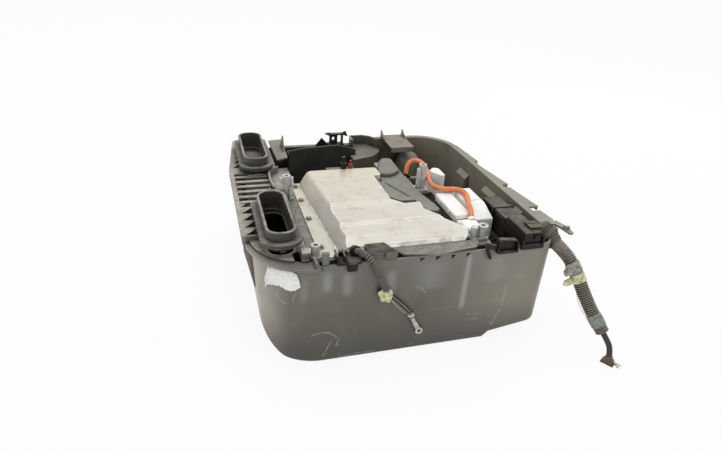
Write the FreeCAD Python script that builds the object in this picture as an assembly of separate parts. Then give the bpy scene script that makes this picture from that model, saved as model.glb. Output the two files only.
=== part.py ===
import FreeCAD, Part
import math
import os

# Hybrid car battery in its moulded under-floor tub, millimetres.
# X runs from the air-duct side to the cable side, Y from front to back, Z up.
# The origin is on the floor, under the middle of the tub.

V = FreeCAD.Vector

# Tub: one moulding with a large round along its left bottom edge
tub_left = -257.0
tub_right = 261.0
tub_front = -259.0
tub_back = 257.0
tub_left_draft = 14.0
tub_wall = 4.0
rim_low = 195.0
rim_high = 207.0
left_corner_r = 92.0
back_left_corner_r = 50.0
back_right_corner_r = 80.0
front_right_corner_r = 24.0
bottom_round_r = 58.0
bottom_edge_r = 8.0
bottom_step_x = 152.0
bottom_step_rise = 11.0
bottom_step_run = 11.0
bottom_right_rise = 27.0
rim_flange_reach = 9.0
rim_flange_thick = 3.5
rim_lip_thick = 2.5
rim_lip_drop = 8.0
front_step_y = -222.0
side_gusset_thick = 3.0
side_gusset_drop = 100.0
side_gusset_reach = 10.0
side_gusset_ys = (-150.0, -122.0, -60.0, 0.0, 60.0, 110.0, 150.0)
edge_hole_width = 9.0
edge_hole_height = 7.0
edge_hole_pitch = 27.5
edge_hole_count = 4
edge_hole_first_x = 6.0
front_panel_left = 8.0
front_panel_right = 97.0
front_panel_proud = 1.6
front_panel_bottom = 70.0
front_panel_ramp = 14.0

# Air-duct deck along the left wall
deck_left = -270.0
deck_right = -172.0
deck_front = -165.0
deck_back = 283.0
deck_slant = 20.0
deck_slant_y = 110.0
deck_top = 207.0
deck_skin = 3.5
deck_base_thick = 4.0
deck_base_front = -243.0
deck_base_back = 252.0
slat_pitch = 22.5
slat_width = 15.5
slat_thick = 3.0
slat_tilt = 3.0
slat_count = 6
slat_first_y = -37.0
tooth_pitch = 25.5
tooth_count = 5
rear_tooth_count = 6
tooth_length = 19.0
tooth_width = 20.0
tooth_first_y = -164.0

# Oval duct collars that stand on the deck
collar_half_x = 20.5
collar_half_y = 74.0
collar_corner_r = 18.0
collar_wall = 3.0
collar_top = 240.0
collar_flange_z = 219.0
collar_flange_thick = 3.5
collar_flange_reach = 10.0
front_collar_x = -212.0
front_collar_y = -145.0
rear_collar_x = -216.0
rear_collar_y = 162.0

# Air ducts under the deck
duct_wall = 2.5
duct_floor_z = 62.0
duct_outlet_top = 150.0
duct_round_r = 40.0
duct_gap = 0.3
deflector_r = 26.0
channel_left = -130.0
channel_right = 27.0
channel_front = 214.0
channel_depth = 34.0
channel_top = 190.0
channel_seam_x = -70.0
screen_thick = 4.0
screen_top = (
    (27.0, 197.0),
    (24.0, 199.0),
    (10.0, 203.0),
    (-14.0, 210.0),
    (-57.0, 208.0),
    (-103.0, 205.0),
    (-130.0, 201.0),
)

# Battery tray, a cast frame that stands on the tub's floor
tray_left = -150.0
tray_right = 128.0
tray_front = -234.0
tray_back = 56.0
tray_wall = 4.0
tray_floor_z = 14.0
tray_foot_size = 30.0
tray_flange_top = 190.0
tray_flange_thick = 4.0
tray_flange_left = -168.0
tray_flange_right = 150.0
tray_flange_back = 62.0
tray_divider_x = 24.0
tray_lip_top = 199.0
tray_vent_height = 84.0
tray_vent_width = 110.0

# Stamped cover
cover_skin = 1.5
cover_top = 218.0
cover_step = 3.0
cover_side_slope = 22.0
cover_left = -139.0
cover_front_left = -120.0
cover_back = 57.0
cover_corner_r = 12.0

# Cells under the cover
module_count = 6
module_gap = 1.0
module_height = 150.0
module_round_r = 5.0
end_plate_thick = 6.0
busbar_thick = 2.0
busbar_width = 14.0
terminal_r = 5.0
terminal_height = 4.0
board_thick = 1.6

# Electronics next to the cells
converter_front = -66.0
converter_top = 199.0
fin_pitch = 9.0
fin_thick = 3.0
fin_height = 10.0
plate_thick = 5.0
lobe_height = 8.0

# Cast posts that carry the upper frame
post_bore_r = 4.2
post_wall = 3.6
post_foot_thick = 4.0
rear_left_post = (-170.0, 2.0, 236.0)
rear_right_post = (106.0, -3.0, 245.0)
front_left_post = (-160.0, -221.0, 213.0)
front_right_post = (140.0, -211.0, 215.0)

# Boxes on the cable side
shelf_z = 146.0
shelf_thick = 3.0
shelf_right = 206.0
shelf_front = -160.0
shelf_back = 92.0
shelf_flange_drop = 40.0
fuse_box_size = (117.0, 148.0, -149.0, -55.0, 204.0)
fuse_lid_height = 8.0
relay_box_size = (150.0, 175.0, 30.0, 72.0, 203.0)
junction_box_size = (158.0, 195.0, -150.0, -42.0, 205.0)
control_box_size = (203.0, 235.0, -188.0, -92.0, 206.0)
control_box_height = 46.0
clip_band = 9.0
clip_thick = 2.0
connector_block_size = (189.0, 232.0, -264.0, -200.0, 222.0)
connector_hole_r = 4.0
connector_tab_thick = 3.0

# Places that several pieces share
seat_gap = 0.3
duct_side_x = -166.0
front_post_x = -160.0
rim_pad_plans = (
    ((271.0, 188.0), (278.0, 85.0)),
    ((270.0, 57.0), (284.0, -42.0)),
    ((280.0, -57.0), (291.0, -146.0)),
    ((285.0, -162.0), (289.0, -199.0), (280.0, -217.0)),
)
inner_column_rows = ((76.0, 46.0, 10.0, 168.0), (-48.0, 46.0, 10.0, 178.0), (-150.0, 26.0, 10.0, 190.0))
low_back_end = 24.0
bulge_shelf_z = 185.0
bulge_under_z = 150.0
bulge_plan = [
    (28.0, 285.0, 6.0),
    (28.0, 211.0, 0.0),
    (14.0, 211.0, 2.0),
    (14.0, 180.0, 4.0),
    (40.0, 190.0, 10.0),
    (66.0, 199.0, 14.0),
    (92.0, 228.0, 10.0),
    (94.0, 250.0, 8.0),
    (80.0, 274.0, 10.0),
    (62.0, 285.0, 12.0),
]
back_dome = (165.0, 226.0, 182.0, 30.0)
rim_edge_gap = 3.0
deck_base_corner_r = 82.0
corner_ledge = 17.0
slat_side = 8.0
slat_side_right = 22.0
tooth_edge = 7.0
rear_tooth_first_y = 118.0
lip_left = -35.0
lip_middle = 36.0
lip_right = 122.0
screw_r = 2.5
screw_gap = 0.2
cover_screw_places = ((-146.0, -196.0), (-146.0, -95.0), (-146.0, -20.0), (-146.0, 42.0))
cover_front = -229.0
cover_right = 112.0
cover_nose_x = 102.0
cover_flange_left = -152.5
cover_ridge_back = -94.0
cover_ridge_front = -162.0
cover_ear_xs = (-6.0, 8.0)
notch_left_x = 9.0
notch_front_y = -106.0
notch_back_y = 19.0
notch_step_x = 62.0
module_end_gap = 3.0
wing_left = 44.0
wing_right = 84.0
wing_back = 126.0
plate_left = 11.0
plate_front = -74.0
plate_tongue_y = -128.0
post_bore_depth = 20.0
eye_post_r = 7.4
column_r = 9.0
rear_left_lobes = (
    (-9.0, -2.0, 4.0, 3.0, deck_top + seat_gap),
    (9.0, -2.0, 4.0, 3.0, tray_flange_top),
    (6.0, -9.0, 3.0, 22.0, tray_flange_top),
)
rear_right_lobes = ((-9.0, -4.0, 4.5, 7.0, tray_flange_top),)
front_left_lobes = ((3.4, 16.0, 4.0, 9.0, tray_flange_top),)
front_right_lobes = ((-17.0, -1.0, 6.0, 1.0, tray_flange_top),)
cap_depth = 4.0
cap_rim = 2.0
hv_plug_size = (117.0, 149.0, -198.0, -163.0, 203.0)
clip_left = -133.0
clip_right = -94.0
bridge_left = -82.0
bridge_right = -37.0
bridge_height = 16.0
bridge_lug = (-56.0, -35.0, 198.0, 212.0)
pocket_size = (141.0, 181.0, 189.0, 217.0)
pocket_depth = 9.0
rear_bracket_size = (104.0, 160.0, 182.0, 268.0)
rear_clip_place = (-12.0, 258.0)
left_bracket_z = 200.0
left_bracket_plan = [(-168.0, 282.0, 4.0), (-165.0, 160.0, 3.0), (-140.0, 173.0, 3.0), (-135.0, 288.0, 4.0)]
corner_box = (-185.0, -172.0, -240.0, -222.0, 210.0)
corner_hole = [(-197.0, -250.0, 0.0), (-197.0, -219.0, 2.0), (-186.0, -212.0, 1.0), (-185.0, -250.0, 0.0)]
corner_strap = (-168.5, -165.0, -262.0, -240.0, 187.0, 205.0)
corner_tab = (-157.0, -145.0, 216.0)
sense_place = (-49.0, 59.0, 217.0)
tape_spans = ((0.26, 0.36), (0.37, 0.45), (0.80, 0.92))
boot_turn = -58.0
strand_r = 0.8
strand_fan = ((-14.0, 2.0, 13.0), (3.0, 1.5, 17.0), (16.0, 4.0, 11.0))
label_thick = 0.8
label_outline = [
    (-238.0, 189.5, 2.0),
    (-227.0, 191.0, 2.0),
    (-213.0, 189.0, 2.0),
    (-196.0, 188.0, 4.0),
    (-190.0, 168.0, 5.0),
    (-194.0, 152.0, 4.0),
    (-207.0, 147.0, 4.0),
    (-222.0, 157.0, 3.0),
    (-242.0, 160.0, 2.0),
    (-236.0, 170.0, 2.0),
]

# Cable exit at the front right corner
grommet_length = 42.0
grommet_r = 22.0
grommet_fit = 0.2

# Loose cables
harness_r = 12.0
harness_route = [
    (273.0, -243.0, 182.0),
    (285.5, -264.5, 171.0),
    (297.0, -283.0, 146.0),
    (308.5, -302.0, 113.0),
    (321.5, -323.0, 80.0),
    (335.0, -346.0, 53.0),
]
tail_r = 5.0
tail_route = [
    (335.0, -346.0, 53.0),
    (341.0, -356.2, 41.0),
    (345.0, -363.5, 29.0),
    (344.0, -368.0, 15.5),
]
boot_size = (26.0, 13.0, 12.0)
tape_thick = 1.6
earth_r = 6.0
earth_route = [
    (-97.0, -240.0, 206.0),
    (-92.5, -252.0, 210.5),
    (-87.5, -265.5, 211.5),
    (-81.5, -272.0, 204.0),
    (-74.0, -274.0, 189.0),
    (-65.5, -272.0, 170.5),
    (-57.5, -269.8, 154.0),
    (-50.6, -267.6, 140.2),
]
earth_wire_r = 2.3
earth_wire_route = [
    (-50.6, -267.6, 140.2),
    (-46.3, -266.2, 131.7),
    (-38.0, -264.3, 124.0),
    (-28.0, -263.6, 116.0),
    (-14.5, -263.0, 102.5),
    (-4.0, -263.0, 87.0),
    (2.0, -263.0, 75.5),
]
terminal_length = 36.0
terminal_eye_r = 6.8
terminal_hole_r = 3.3
terminal_plate = 2.0
hv_r = 5.0
hv_route = [
    (96.0, 59.0, 198.0),
    (97.5, 63.0, 209.0),
    (103.0, 66.5, 219.5),
    (112.5, 64.5, 226.5),
    (121.0, 55.0, 228.0),
    (126.5, 42.5, 225.0),
    (128.0, 28.0, 219.5),
    (124.5, 10.0, 214.5),
    (118.5, -12.0, 211.5),
    (117.5, -32.0, 211.5),
    (123.0, -48.0, 212.0),
    (136.0, -56.5, 212.0),
    (150.0, -57.0, 212.0),
    (161.0, -61.5, 212.0),
    (167.5, -71.5, 212.0),
    (168.0, -84.0, 212.0),
    (163.5, -99.0, 212.0),
    (155.5, -117.0, 212.0),
    (150.0, -134.0, 213.0),
    (146.5, -149.0, 211.0),
    (143.0, -161.5, 203.0),
]


def rounded_points(corners):
    """Edges of a closed outline whose corners (u, v, r) are rounded by tangent arcs."""
    pieces = []
    count = len(corners)
    for i in range(count):
        u, v, r = corners[i]
        here = V(u, v, 0)
        before = V(corners[i - 1][0], corners[i - 1][1], 0)
        after = V(corners[(i + 1) % count][0], corners[(i + 1) % count][1], 0)
        to_before = (before - here).normalize()
        to_after = (after - here).normalize()
        if r <= 0:
            pieces.append((here, None, here))
            continue
        half = to_before.getAngle(to_after) / 2
        reach = r / math.tan(half)
        start = here + to_before * reach
        end = here + to_after * reach
        inward = (to_before + to_after).normalize()
        middle = here + inward * (r / math.sin(half) - r)
        pieces.append((start, middle, end))
    return pieces


def place(point, plane, level):
    """Put a flat point on a plane: xy at z, xz at y or yz at x."""
    if plane == "xy":
        return V(point.x, point.y, level)
    if plane == "xz":
        return V(point.x, level, point.y)
    return V(level, point.x, point.y)


def outline(corners, level, plane="xy"):
    """Closed wire through rounded corners."""
    pieces = rounded_points(corners)
    edges = []
    for i, (start, middle, end) in enumerate(pieces):
        if middle is not None:
            arc = Part.Arc(place(start, plane, level), place(middle, plane, level), place(end, plane, level))
            edges.append(arc.toShape())
        following = pieces[(i + 1) % len(pieces)][0]
        if (following - end).Length > 1e-6:
            edges.append(Part.makeLine(place(end, plane, level), place(following, plane, level)))
    return Part.Wire(edges)


def prism(corners, low, high, plane="xy"):
    """Outline carried straight from one level to another."""
    face = Part.Face(outline(corners, low, plane))
    along = {"xy": V(0, 0, 1), "xz": V(0, 1, 0), "yz": V(1, 0, 0)}[plane]
    return face.extrude(along * (high - low))


def rectangle(x0, x1, y0, y1, r=0.0):
    """Corners of a rectangle, all with one radius."""
    return [(x0, y0, r), (x1, y0, r), (x1, y1, r), (x0, y1, r)]


def block(x0, x1, y0, y1, z0, z1, r=0.0):
    """Upright block with rounded vertical edges."""
    return prism(rectangle(x0, x1, y0, y1, r), z0, z1)


def drum(x, y, z0, z1, r):
    """Upright cylinder."""
    return Part.makeCylinder(r, z1 - z0, V(x, y, z0))


def fuse(*shapes):
    """One solid from shapes that touch."""
    whole = shapes[0].multiFuse(list(shapes[1:]))
    return whole.removeSplitter()


def cut(shape, *tools):
    """One solid with tools taken away."""
    for tool in tools:
        shape = shape.cut(tool)
    return shape


def edges_where(shape, test):
    """Edges whose bounding box passes a test."""
    return [edge for edge in shape.Edges if test(edge.BoundBox)]


def soften_top(shape, level, r):
    """Round every edge that lies at one height."""
    top = edges_where(shape, lambda box: abs(box.ZMin - level) < 1e-4 and abs(box.ZMax - level) < 1e-4)
    return shape.makeFillet(r, top)


def tube_path(points):
    """Straight runs joined by arcs as large as the two runs at each point allow."""
    runs = [V(*p) for p in points]
    edges = []
    radii = []
    last = runs[0]
    for i in range(1, len(runs) - 1):
        here = runs[i]
        back = (runs[i - 1] - here)
        ahead = (runs[i + 1] - here)
        shorter = min(back.Length, ahead.Length)
        turn = math.pi - back.getAngle(ahead)
        reach = 0.45 * shorter
        radii.append(reach / math.tan(turn / 2))
        start = here + back.normalize() * reach
        end = here + ahead.normalize() * reach
        half = (math.pi - turn) / 2
        inward = (back + ahead).normalize()
        middle = here + inward * (radii[-1] / math.sin(half) - radii[-1])
        edges.append(Part.LineSegment(last, start).toShape())
        edges.append(Part.Arc(start, middle, end).toShape())
        last = end
    edges.append(Part.LineSegment(last, runs[-1]).toShape())
    return Part.Wire(edges), radii


def cord_tube(points, r, name):
    """Round cable along a route, with its bend radii printed."""
    path, radii = tube_path(points)
    start = V(*points[0])
    along = V(*points[1]) - start
    ring = Part.Wire([Part.Circle(start, along, r).toShape()])
    shell = path.makePipeShell([ring], True, False)
    volume_ratio = shell.Volume / (math.pi * r * r * path.Length)
    rounded = [round(x) for x in radii]
    print(name, "length", round(path.Length, 1), "radii", rounded, "fill", round(volume_ratio, 3))
    return shell


def towards(shape, origin, axis):
    """Turn a shape modelled along +Z so that it points along an axis from a point."""
    turned = shape.copy()
    turned.Placement = FreeCAD.Placement(V(*origin), FreeCAD.Rotation(V(0, 0, 1), V(*axis)))
    return turned


def tub_body(inset):
    """The tub as a full solid, or its inner space where the inset is the wall."""
    left_low = tub_left + tub_left_draft + inset
    left_high = tub_left + inset
    right = tub_right - inset
    top = rim_high + inset
    ramp_x = bottom_step_x + inset / 2
    section = [
        (left_low, inset, 0),
        (ramp_x, inset, 0),
        (ramp_x + bottom_step_run, inset + bottom_step_rise, 0),
        (right, inset + bottom_right_rise, 0),
        (right, top, 0),
        (left_high, top, 0),
    ]
    body = prism(section, tub_front + inset, tub_back - inset, "xz")
    corners = (
        (True, tub_front + inset, left_corner_r),
        (True, tub_back - inset, back_left_corner_r),
        (False, tub_front + inset, front_right_corner_r),
        (False, tub_back - inset, back_right_corner_r),
    )
    for on_left, y, r in corners:
        upright = edges_where(body, lambda box: (
            box.ZLength > 100 and abs(box.YMin - y) < 0.01 and box.YLength < 0.01
            and (box.XMax < 0) == on_left))
        body = body.makeFillet(r - inset, upright)
    seeds = edges_where(body, lambda box: (
        box.ZMax < bottom_right_rise + inset + 0.01 and box.YLength < 0.01 and box.XMin > left_low + inset
        and min(abs(box.YMin - tub_front - inset), abs(box.YMin - tub_back + inset)) < 0.01))
    body = body.makeFillet(bottom_edge_r - inset, seeds)
    return body.cut(bottom_waste_left(left_low, inset))


def bottom_waste_left(left_low, inset):
    """What the large round takes away between the leaning left wall and the floor."""
    r = bottom_round_r - inset
    lean = math.atan2(tub_left_draft, rim_high)
    middle_x = left_low + r / math.tan((math.pi / 2 + lean) / 2)
    tangent_z = inset + r - r * math.sin(lean)
    slab = block(left_low - r, middle_x, tub_front - 1, tub_back + 1, inset - 1, tangent_z)
    depth = tub_back - tub_front + 4
    rod = Part.makeCylinder(r, depth, V(middle_x, tub_front - 2, inset + r), V(0, 1, 0))
    return slab.cut(rod)


def rim_band(reach, low, high):
    """Full plan of the rim, larger than the wall by a reach, between two heights."""
    plan = [
        (tub_left - reach, tub_front - reach, left_corner_r + reach),
        (tub_right + reach, tub_front - reach, front_right_corner_r + reach),
        (tub_right + reach, tub_back + reach, back_right_corner_r + reach),
        (tub_left - reach, tub_back + reach, back_left_corner_r + reach),
    ]
    return prism(plan, low, high)


def tub_rim():
    """Turned-down flange along the high rim, and flat ones where the rim is low."""
    high = rim_band(rim_flange_reach, rim_high - rim_lip_drop, rim_high)
    under = rim_band(rim_flange_reach - rim_lip_thick, rim_low - 9, rim_high - rim_flange_thick)
    inside = rim_band(-tub_wall / 2, rim_low - 20, rim_high + 1)
    far = 400.0
    high = cut(
        high, under, inside,
        block(-far, far, -far, front_step_y, 0, rim_high + 1),
        block(-far, duct_side_x, -far, far, 0, rim_high + 1),
        block(-far, low_back_end, 0, far, 0, rim_high + 1))
    low = rim_band(rim_flange_reach - 1, rim_low - rim_flange_thick, rim_low).cut(inside)
    ledge = rim_band(rim_flange_reach - 1, rim_low - rim_flange_thick, rim_low)
    ledge = ledge.cut(rim_band(-corner_ledge, rim_low - 20, rim_high + 1))
    half_x = collar_half_x + duct_wall + 1
    half_y = collar_half_y + duct_wall + 1
    ledge = ledge.cut(block(
        front_collar_x - half_x, front_collar_x + half_x,
        front_collar_y - half_y, front_collar_y + half_y, rim_low - 20, rim_high))
    front_left = ledge.common(block(-far, front_post_x, -far, deck_front, 0, rim_low + 1))
    back_left = low.common(block(duct_side_x, low_back_end + 4, tub_back - 20, far, 0, rim_low))
    return high, front_left, back_left


def side_gussets():
    """Thin fins that carry the deck's overhang on the left wall."""
    section = [
        (tub_left - side_gusset_reach, rim_low, 0),
        (tub_left + 2, rim_low, 0),
        (tub_left + tub_left_draft * side_gusset_drop / rim_high + 2, rim_low - side_gusset_drop, 0),
        (tub_left + tub_left_draft * side_gusset_drop / rim_high - 1, rim_low - side_gusset_drop, 0),
        (tub_left - side_gusset_reach, rim_low - 25, 0),
    ]
    return [prism(section, y, y + side_gusset_thick, "xz") for y in side_gusset_ys]


def rim_pads():
    """Wedge-shaped pads that widen the right rim towards the front, each with a turned-down lip."""
    pads = []
    for outer in rim_pad_plans:
        inner = [(tub_right - 1, outer[-1][1], 0), (tub_right - 1, outer[0][1], 0)]
        plan = [(x, y, 0) for x, y in outer] + inner
        under = [(x - rim_lip_thick, y, 0) for x, y in outer] + inner
        top = prism(plan, rim_high - rim_lip_drop, rim_high)
        pads.append(top.cut(prism(under, rim_high - rim_lip_drop - 1, rim_high - rim_flange_thick)))
    return pads


def back_bulge(inset, low, high):
    """Plan of the bulge in the back wall, or its inner space, between two heights."""
    plan = outline(bulge_plan, low)
    if inset > 0:
        plan = plan.makeOffset2D(-inset)
    return Part.Face(plan).extrude(V(0, 0, high - low))


def bulge_spaces():
    """Room above the bulge's shelf, and the rooms under it on both sides of the wall."""
    above = back_bulge(tub_wall, bulge_shelf_z, rim_high + 9)
    under = back_bulge(tub_wall, bulge_under_z - 1, bulge_shelf_z - tub_wall)
    far = 400.0
    inside = under.common(block(-far, far, 0, tub_back - tub_wall, 0, rim_high))
    outside = under.common(block(-far, far, tub_back, far, 0, rim_high))
    front = block(-far, low_back_end + 80, 0, tub_back - tub_wall, bulge_shelf_z, rim_high + 9)
    return above, inside, outside, back_bulge(0.0, bulge_shelf_z, rim_high + 9).common(front)


def inner_columns():
    """Moulded columns and the spare bolt dome inside the right and back walls."""
    columns = []
    inside = tub_right - tub_wall
    for y, width, depth, top in inner_column_rows:
        section = [
            (inside + 1, bottom_right_rise, 0),
            (inside + 1, top + depth, 0),
            (inside - depth, top, 2),
            (inside - depth, bottom_right_rise, 0),
        ]
        columns.append(prism(section, y, y + width, "xz"))
    x, y, top, r = back_dome
    dome = fuse(drum(x, y, tub_wall / 2, top - r, r), Part.makeSphere(r, V(x, y, top - r)))
    columns.append(dome.common(tub_body(tub_wall / 2)))
    return columns


def front_panel():
    """Shallow raised panel in the front wall."""
    y = tub_front - front_panel_proud
    section = [
        (tub_front + 1, front_panel_bottom, 0),
        (y, front_panel_bottom + 18, 0),
        (y, rim_low - 6, 0),
        (tub_front + 1, rim_low - 1, 0),
    ]
    panel = prism(section, front_panel_left - 1, front_panel_right + 1, "yz")
    slope = front_panel_ramp / front_panel_proud
    plan = [
        (front_panel_left - 2 * slope, tub_front + 2, 0),
        (front_panel_left + front_panel_ramp + slope, y - 1, 0),
        (front_panel_right - front_panel_ramp - slope, y - 1, 0),
        (front_panel_right + 2 * slope, tub_front + 2, 0),
    ]
    return panel.common(prism(plan, front_panel_bottom - 9, rim_low + 9))


def edge_holes():
    """Triangular holes under the front edge."""
    holes = []
    for i in range(edge_hole_count):
        x = edge_hole_first_x + i * edge_hole_pitch
        high = rim_low - rim_edge_gap
        corners = [
            (x, high, 0),
            (x + edge_hole_width, high, 0),
            (x, high - edge_hole_height, 0),
        ]
        holes.append(prism(corners, tub_front - 5, tub_front + tub_wall + 1, "xz"))
    return holes


def grommet_opening():
    """Notch through the front right corner that fits the cable grommet."""
    return grommet_solid(grommet_fit)


def tub():
    """Moulded tub with its drafted wall, rim, gussets, inner columns and edge holes."""
    shell = tub_body(0.0).cut(tub_body(tub_wall))
    far = 400.0
    shell = cut(
        shell,
        block(-far, far, -far, front_step_y, rim_low, rim_high + 9),
        block(-far, duct_side_x, -far, far, rim_low, rim_high + 9),
        block(-far, low_back_end, 0, far, rim_low, rim_high + 9))
    x0, x1, top = corner_tab
    tab = block(x0, x1, tub_front + 2, tub_front + 9, rim_low - 4, top, 2)
    x0, x1, y0, y1, low, high = corner_strap
    strap = block(x0, x1, y0, y1, low, high, 1)
    foot = block(x0, x0 + 13, y0, tub_front + 2, low, low + 3, 1)
    bulge = back_bulge(0.0, bulge_under_z, rim_high)
    columns = inner_columns()
    body = fuse(
        shell, *tub_rim(), front_panel(), tab, strap, foot, bulge, *side_gussets(), *rim_pads(), *columns)
    return cut(body, grommet_opening(), *edge_holes(), *bulge_spaces())


def oval(x, y, grow, low, high):
    """Oval of the duct collar's opening, grown by an amount, between two heights."""
    half_x = collar_half_x + grow
    half_y = collar_half_y + grow
    return block(x - half_x, x + half_x, y - half_y, y + half_y, low, high, collar_corner_r + grow * 0.8)


def deck_plan(inset):
    """Outline of the raised deck: its left edge leans in towards the back."""
    left = deck_left + inset
    right = deck_right - 3 - inset
    return [
        (left, deck_front + inset, 5 - inset),
        (right, deck_front + inset, 5 - inset),
        (right, deck_back - inset, 8 - inset),
        (left + deck_slant, deck_back - inset, 14 - inset),
        (left, deck_slant_y, 0),
    ]


def deck_rib():
    """Curved rib that bounds the slats beside the recess."""
    return prism([
        (deck_right + 1, 107, 0),
        (deck_right - 12, 99, 10),
        (deck_right - 23, 84, 12),
        (deck_right - 25, 40, 60),
        (deck_right - 22, 7, 0),
        (deck_right - 19, 7, 0),
        (deck_right - 22, 40, 60),
        (deck_right - 20, 82, 9),
        (deck_right - 10, 96, 7),
        (deck_right + 1, 103, 0),
    ], rim_low + 1, deck_top + 5)


def duct_deck():
    """Deck over the left wall: slats, saw-tooth pockets and two duct holes."""
    base_z = rim_low + deck_base_thick
    base = prism([
        (tub_left - 1, deck_base_front, deck_base_corner_r),
        (deck_right, deck_base_front, 4),
        (deck_right, deck_base_back, 4),
        (tub_left - 1, deck_base_back, back_left_corner_r - 5),
    ], rim_low, base_z)
    raised = prism(deck_plan(0.0), rim_low, deck_top)
    hollow = prism(deck_plan(deck_skin), rim_low - 1, deck_top - deck_skin)
    x0, x1, y0, y1, top = corner_box
    deck = fuse(base, raised.cut(hollow))
    window_y0 = slat_first_y - slat_pitch / 2
    window_y1 = window_y0 + slat_count * slat_pitch
    window = block(
        deck_left + slat_side, deck_right - slat_side_right,
        window_y0, window_y1, rim_low - 1, deck_top + 1, 2)
    recess = prism([
        (deck_right - 2, 9, 0),
        (deck_right - 2, 102, 0),
        (deck_right - 9, 97, 4),
        (deck_right - 19, 83, 8),
        (deck_right - 20, 9, 0),
    ], base_z, deck_top + 1)
    deck = cut(deck, window, recess, prism(corner_hole, rim_low - 1, base_z + 1))
    slats = []
    for i in range(slat_count):
        y = slat_first_y + i * slat_pitch - slat_width / 2
        low = deck_top - slat_thick
        corners = [
            (y, low, 0),
            (y + slat_width, low - slat_tilt, 0),
            (y + slat_width, low + slat_thick - slat_tilt, 0),
            (y, low + slat_thick, 0),
        ]
        slats.append(prism(corners, deck_left + slat_side - 1, deck_right - slat_side_right + 1, "yz"))
    deck = fuse(deck, deck_rib(), block(x0, x1, y0, y1, rim_low, top, 1.5), *slats)
    pockets = []
    for first_y, count in ((tooth_first_y, tooth_count), (rear_tooth_first_y, rear_tooth_count)):
        for i in range(count):
            y = first_y + i * tooth_pitch
            lean = deck_slant * max(0.0, y - deck_slant_y) / (deck_back - deck_slant_y)
            x = deck_left + lean + tooth_edge
            corners = [
                (x, y + 2, 0),
                (x + tooth_length, y + 2, 0),
                (x + tooth_length, y + 2 + tooth_width, 0),
            ]
            pockets.append(prism(corners, rim_low + 1, deck_top + 1))
    holes = [
        oval(front_collar_x, front_collar_y, 0, rim_low - 1, deck_top + 1),
        oval(rear_collar_x, rear_collar_y, 0, rim_low - 1, deck_top + 1),
    ]
    post_x, post_y = rear_left_post[:2]
    post_room = drum(post_x, post_y, rim_low - 1, deck_top + 1, post_bore_r + post_wall + seat_gap)
    return cut(deck, post_room, *pockets, *holes)


def duct_collar(x, y):
    """Oval duct mouth: neck, wide flange with a raised edge, tube and rolled lip."""
    foot = oval(x, y, collar_wall, deck_top, collar_top)
    low = collar_flange_z
    ribs = block(x - collar_half_x - 9, x + collar_half_x + 9, y - 26, y + 26, deck_top, low, 3)
    end_rib = block(x - 5, x + 5, y - collar_half_y - 8, y + collar_half_y + 8, deck_top, low, 2)
    flange = oval(x, y, collar_wall + collar_flange_reach, low, low + collar_flange_thick)
    edge = oval(x, y, collar_wall + collar_flange_reach, collar_flange_z - 3, collar_flange_z)
    edge = edge.cut(oval(x, y, collar_flange_reach, collar_flange_z - 4, collar_flange_z + 1))
    lip = oval(x, y, collar_wall + 1.2, collar_top - 4, collar_top)
    body = fuse(foot, ribs, end_rib, flange, edge, lip)
    body = soften_top(body, collar_top, 1.2)
    return body.cut(oval(x, y, 0, deck_top - 1, collar_top + 1))


def air_duct(x, y, outlet):
    """Duct elbow from a deck hole down and sideways; the outlet value gives its far plane."""
    skins = []
    for inset in (0.0, duct_wall):
        half_x = collar_half_x + duct_wall - inset
        half_y = collar_half_y + duct_wall - inset
        reach = outlet + inset
        section = [
            (x - half_x, duct_floor_z + inset, duct_round_r - inset),
            (reach, duct_floor_z + inset, 0),
            (reach, duct_outlet_top - inset, 0),
            (x + half_x, duct_outlet_top - inset, 6 + inset),
            (x + half_x, rim_low + inset, 0),
            (x - half_x, rim_low + inset, 0),
        ]
        whole = prism(section, y - half_y, y + half_y, "xz")
        skins.append(whole.common(tub_body(tub_wall + duct_gap + inset)))
    return skins[0].cut(skins[1])


def rear_air_duct():
    """Rear elbow with the rounded deflector that shows in its mouth."""
    elbow = air_duct(rear_collar_x, rear_collar_y, channel_left)
    hump = Part.makeSphere(deflector_r, V(rear_collar_x, rear_collar_y - 8, rim_low - deflector_r - 6))
    post_top = rim_low - deflector_r - 6
    post = drum(rear_collar_x, rear_collar_y - 8, duct_floor_z + 1, post_top, deflector_r * 0.6)
    space = block(
        rear_collar_x - collar_half_x - 1, rear_collar_x + collar_half_x + 1,
        rear_collar_y - collar_half_y, rear_collar_y + collar_half_y, duct_floor_z + 1, rim_low - 2)
    return fuse(elbow, fuse(hump, post).common(space))


def exhaust_duct():
    """Flat channel along the back wall behind its taller moulded screen."""
    front = channel_front
    back = channel_front + channel_depth
    body = block(channel_left, channel_right, front + 1, back, duct_floor_z, channel_top, 3)
    screen = prism(
        [(channel_left, duct_floor_z, 0), (channel_right, duct_floor_z, 0)]
        + [(x, z, 0) for x, z in screen_top],
        front, front + screen_thick, "xz")
    seam = block(channel_seam_x, channel_seam_x + 3, front - 1.5, front + 1, duct_floor_z, channel_top)
    inner = block(
        channel_left - 1, channel_right + 1, front + screen_thick, back - duct_wall,
        duct_floor_z + duct_wall, channel_top - duct_wall)
    return fuse(body, screen, seam).cut(inner)


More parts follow.
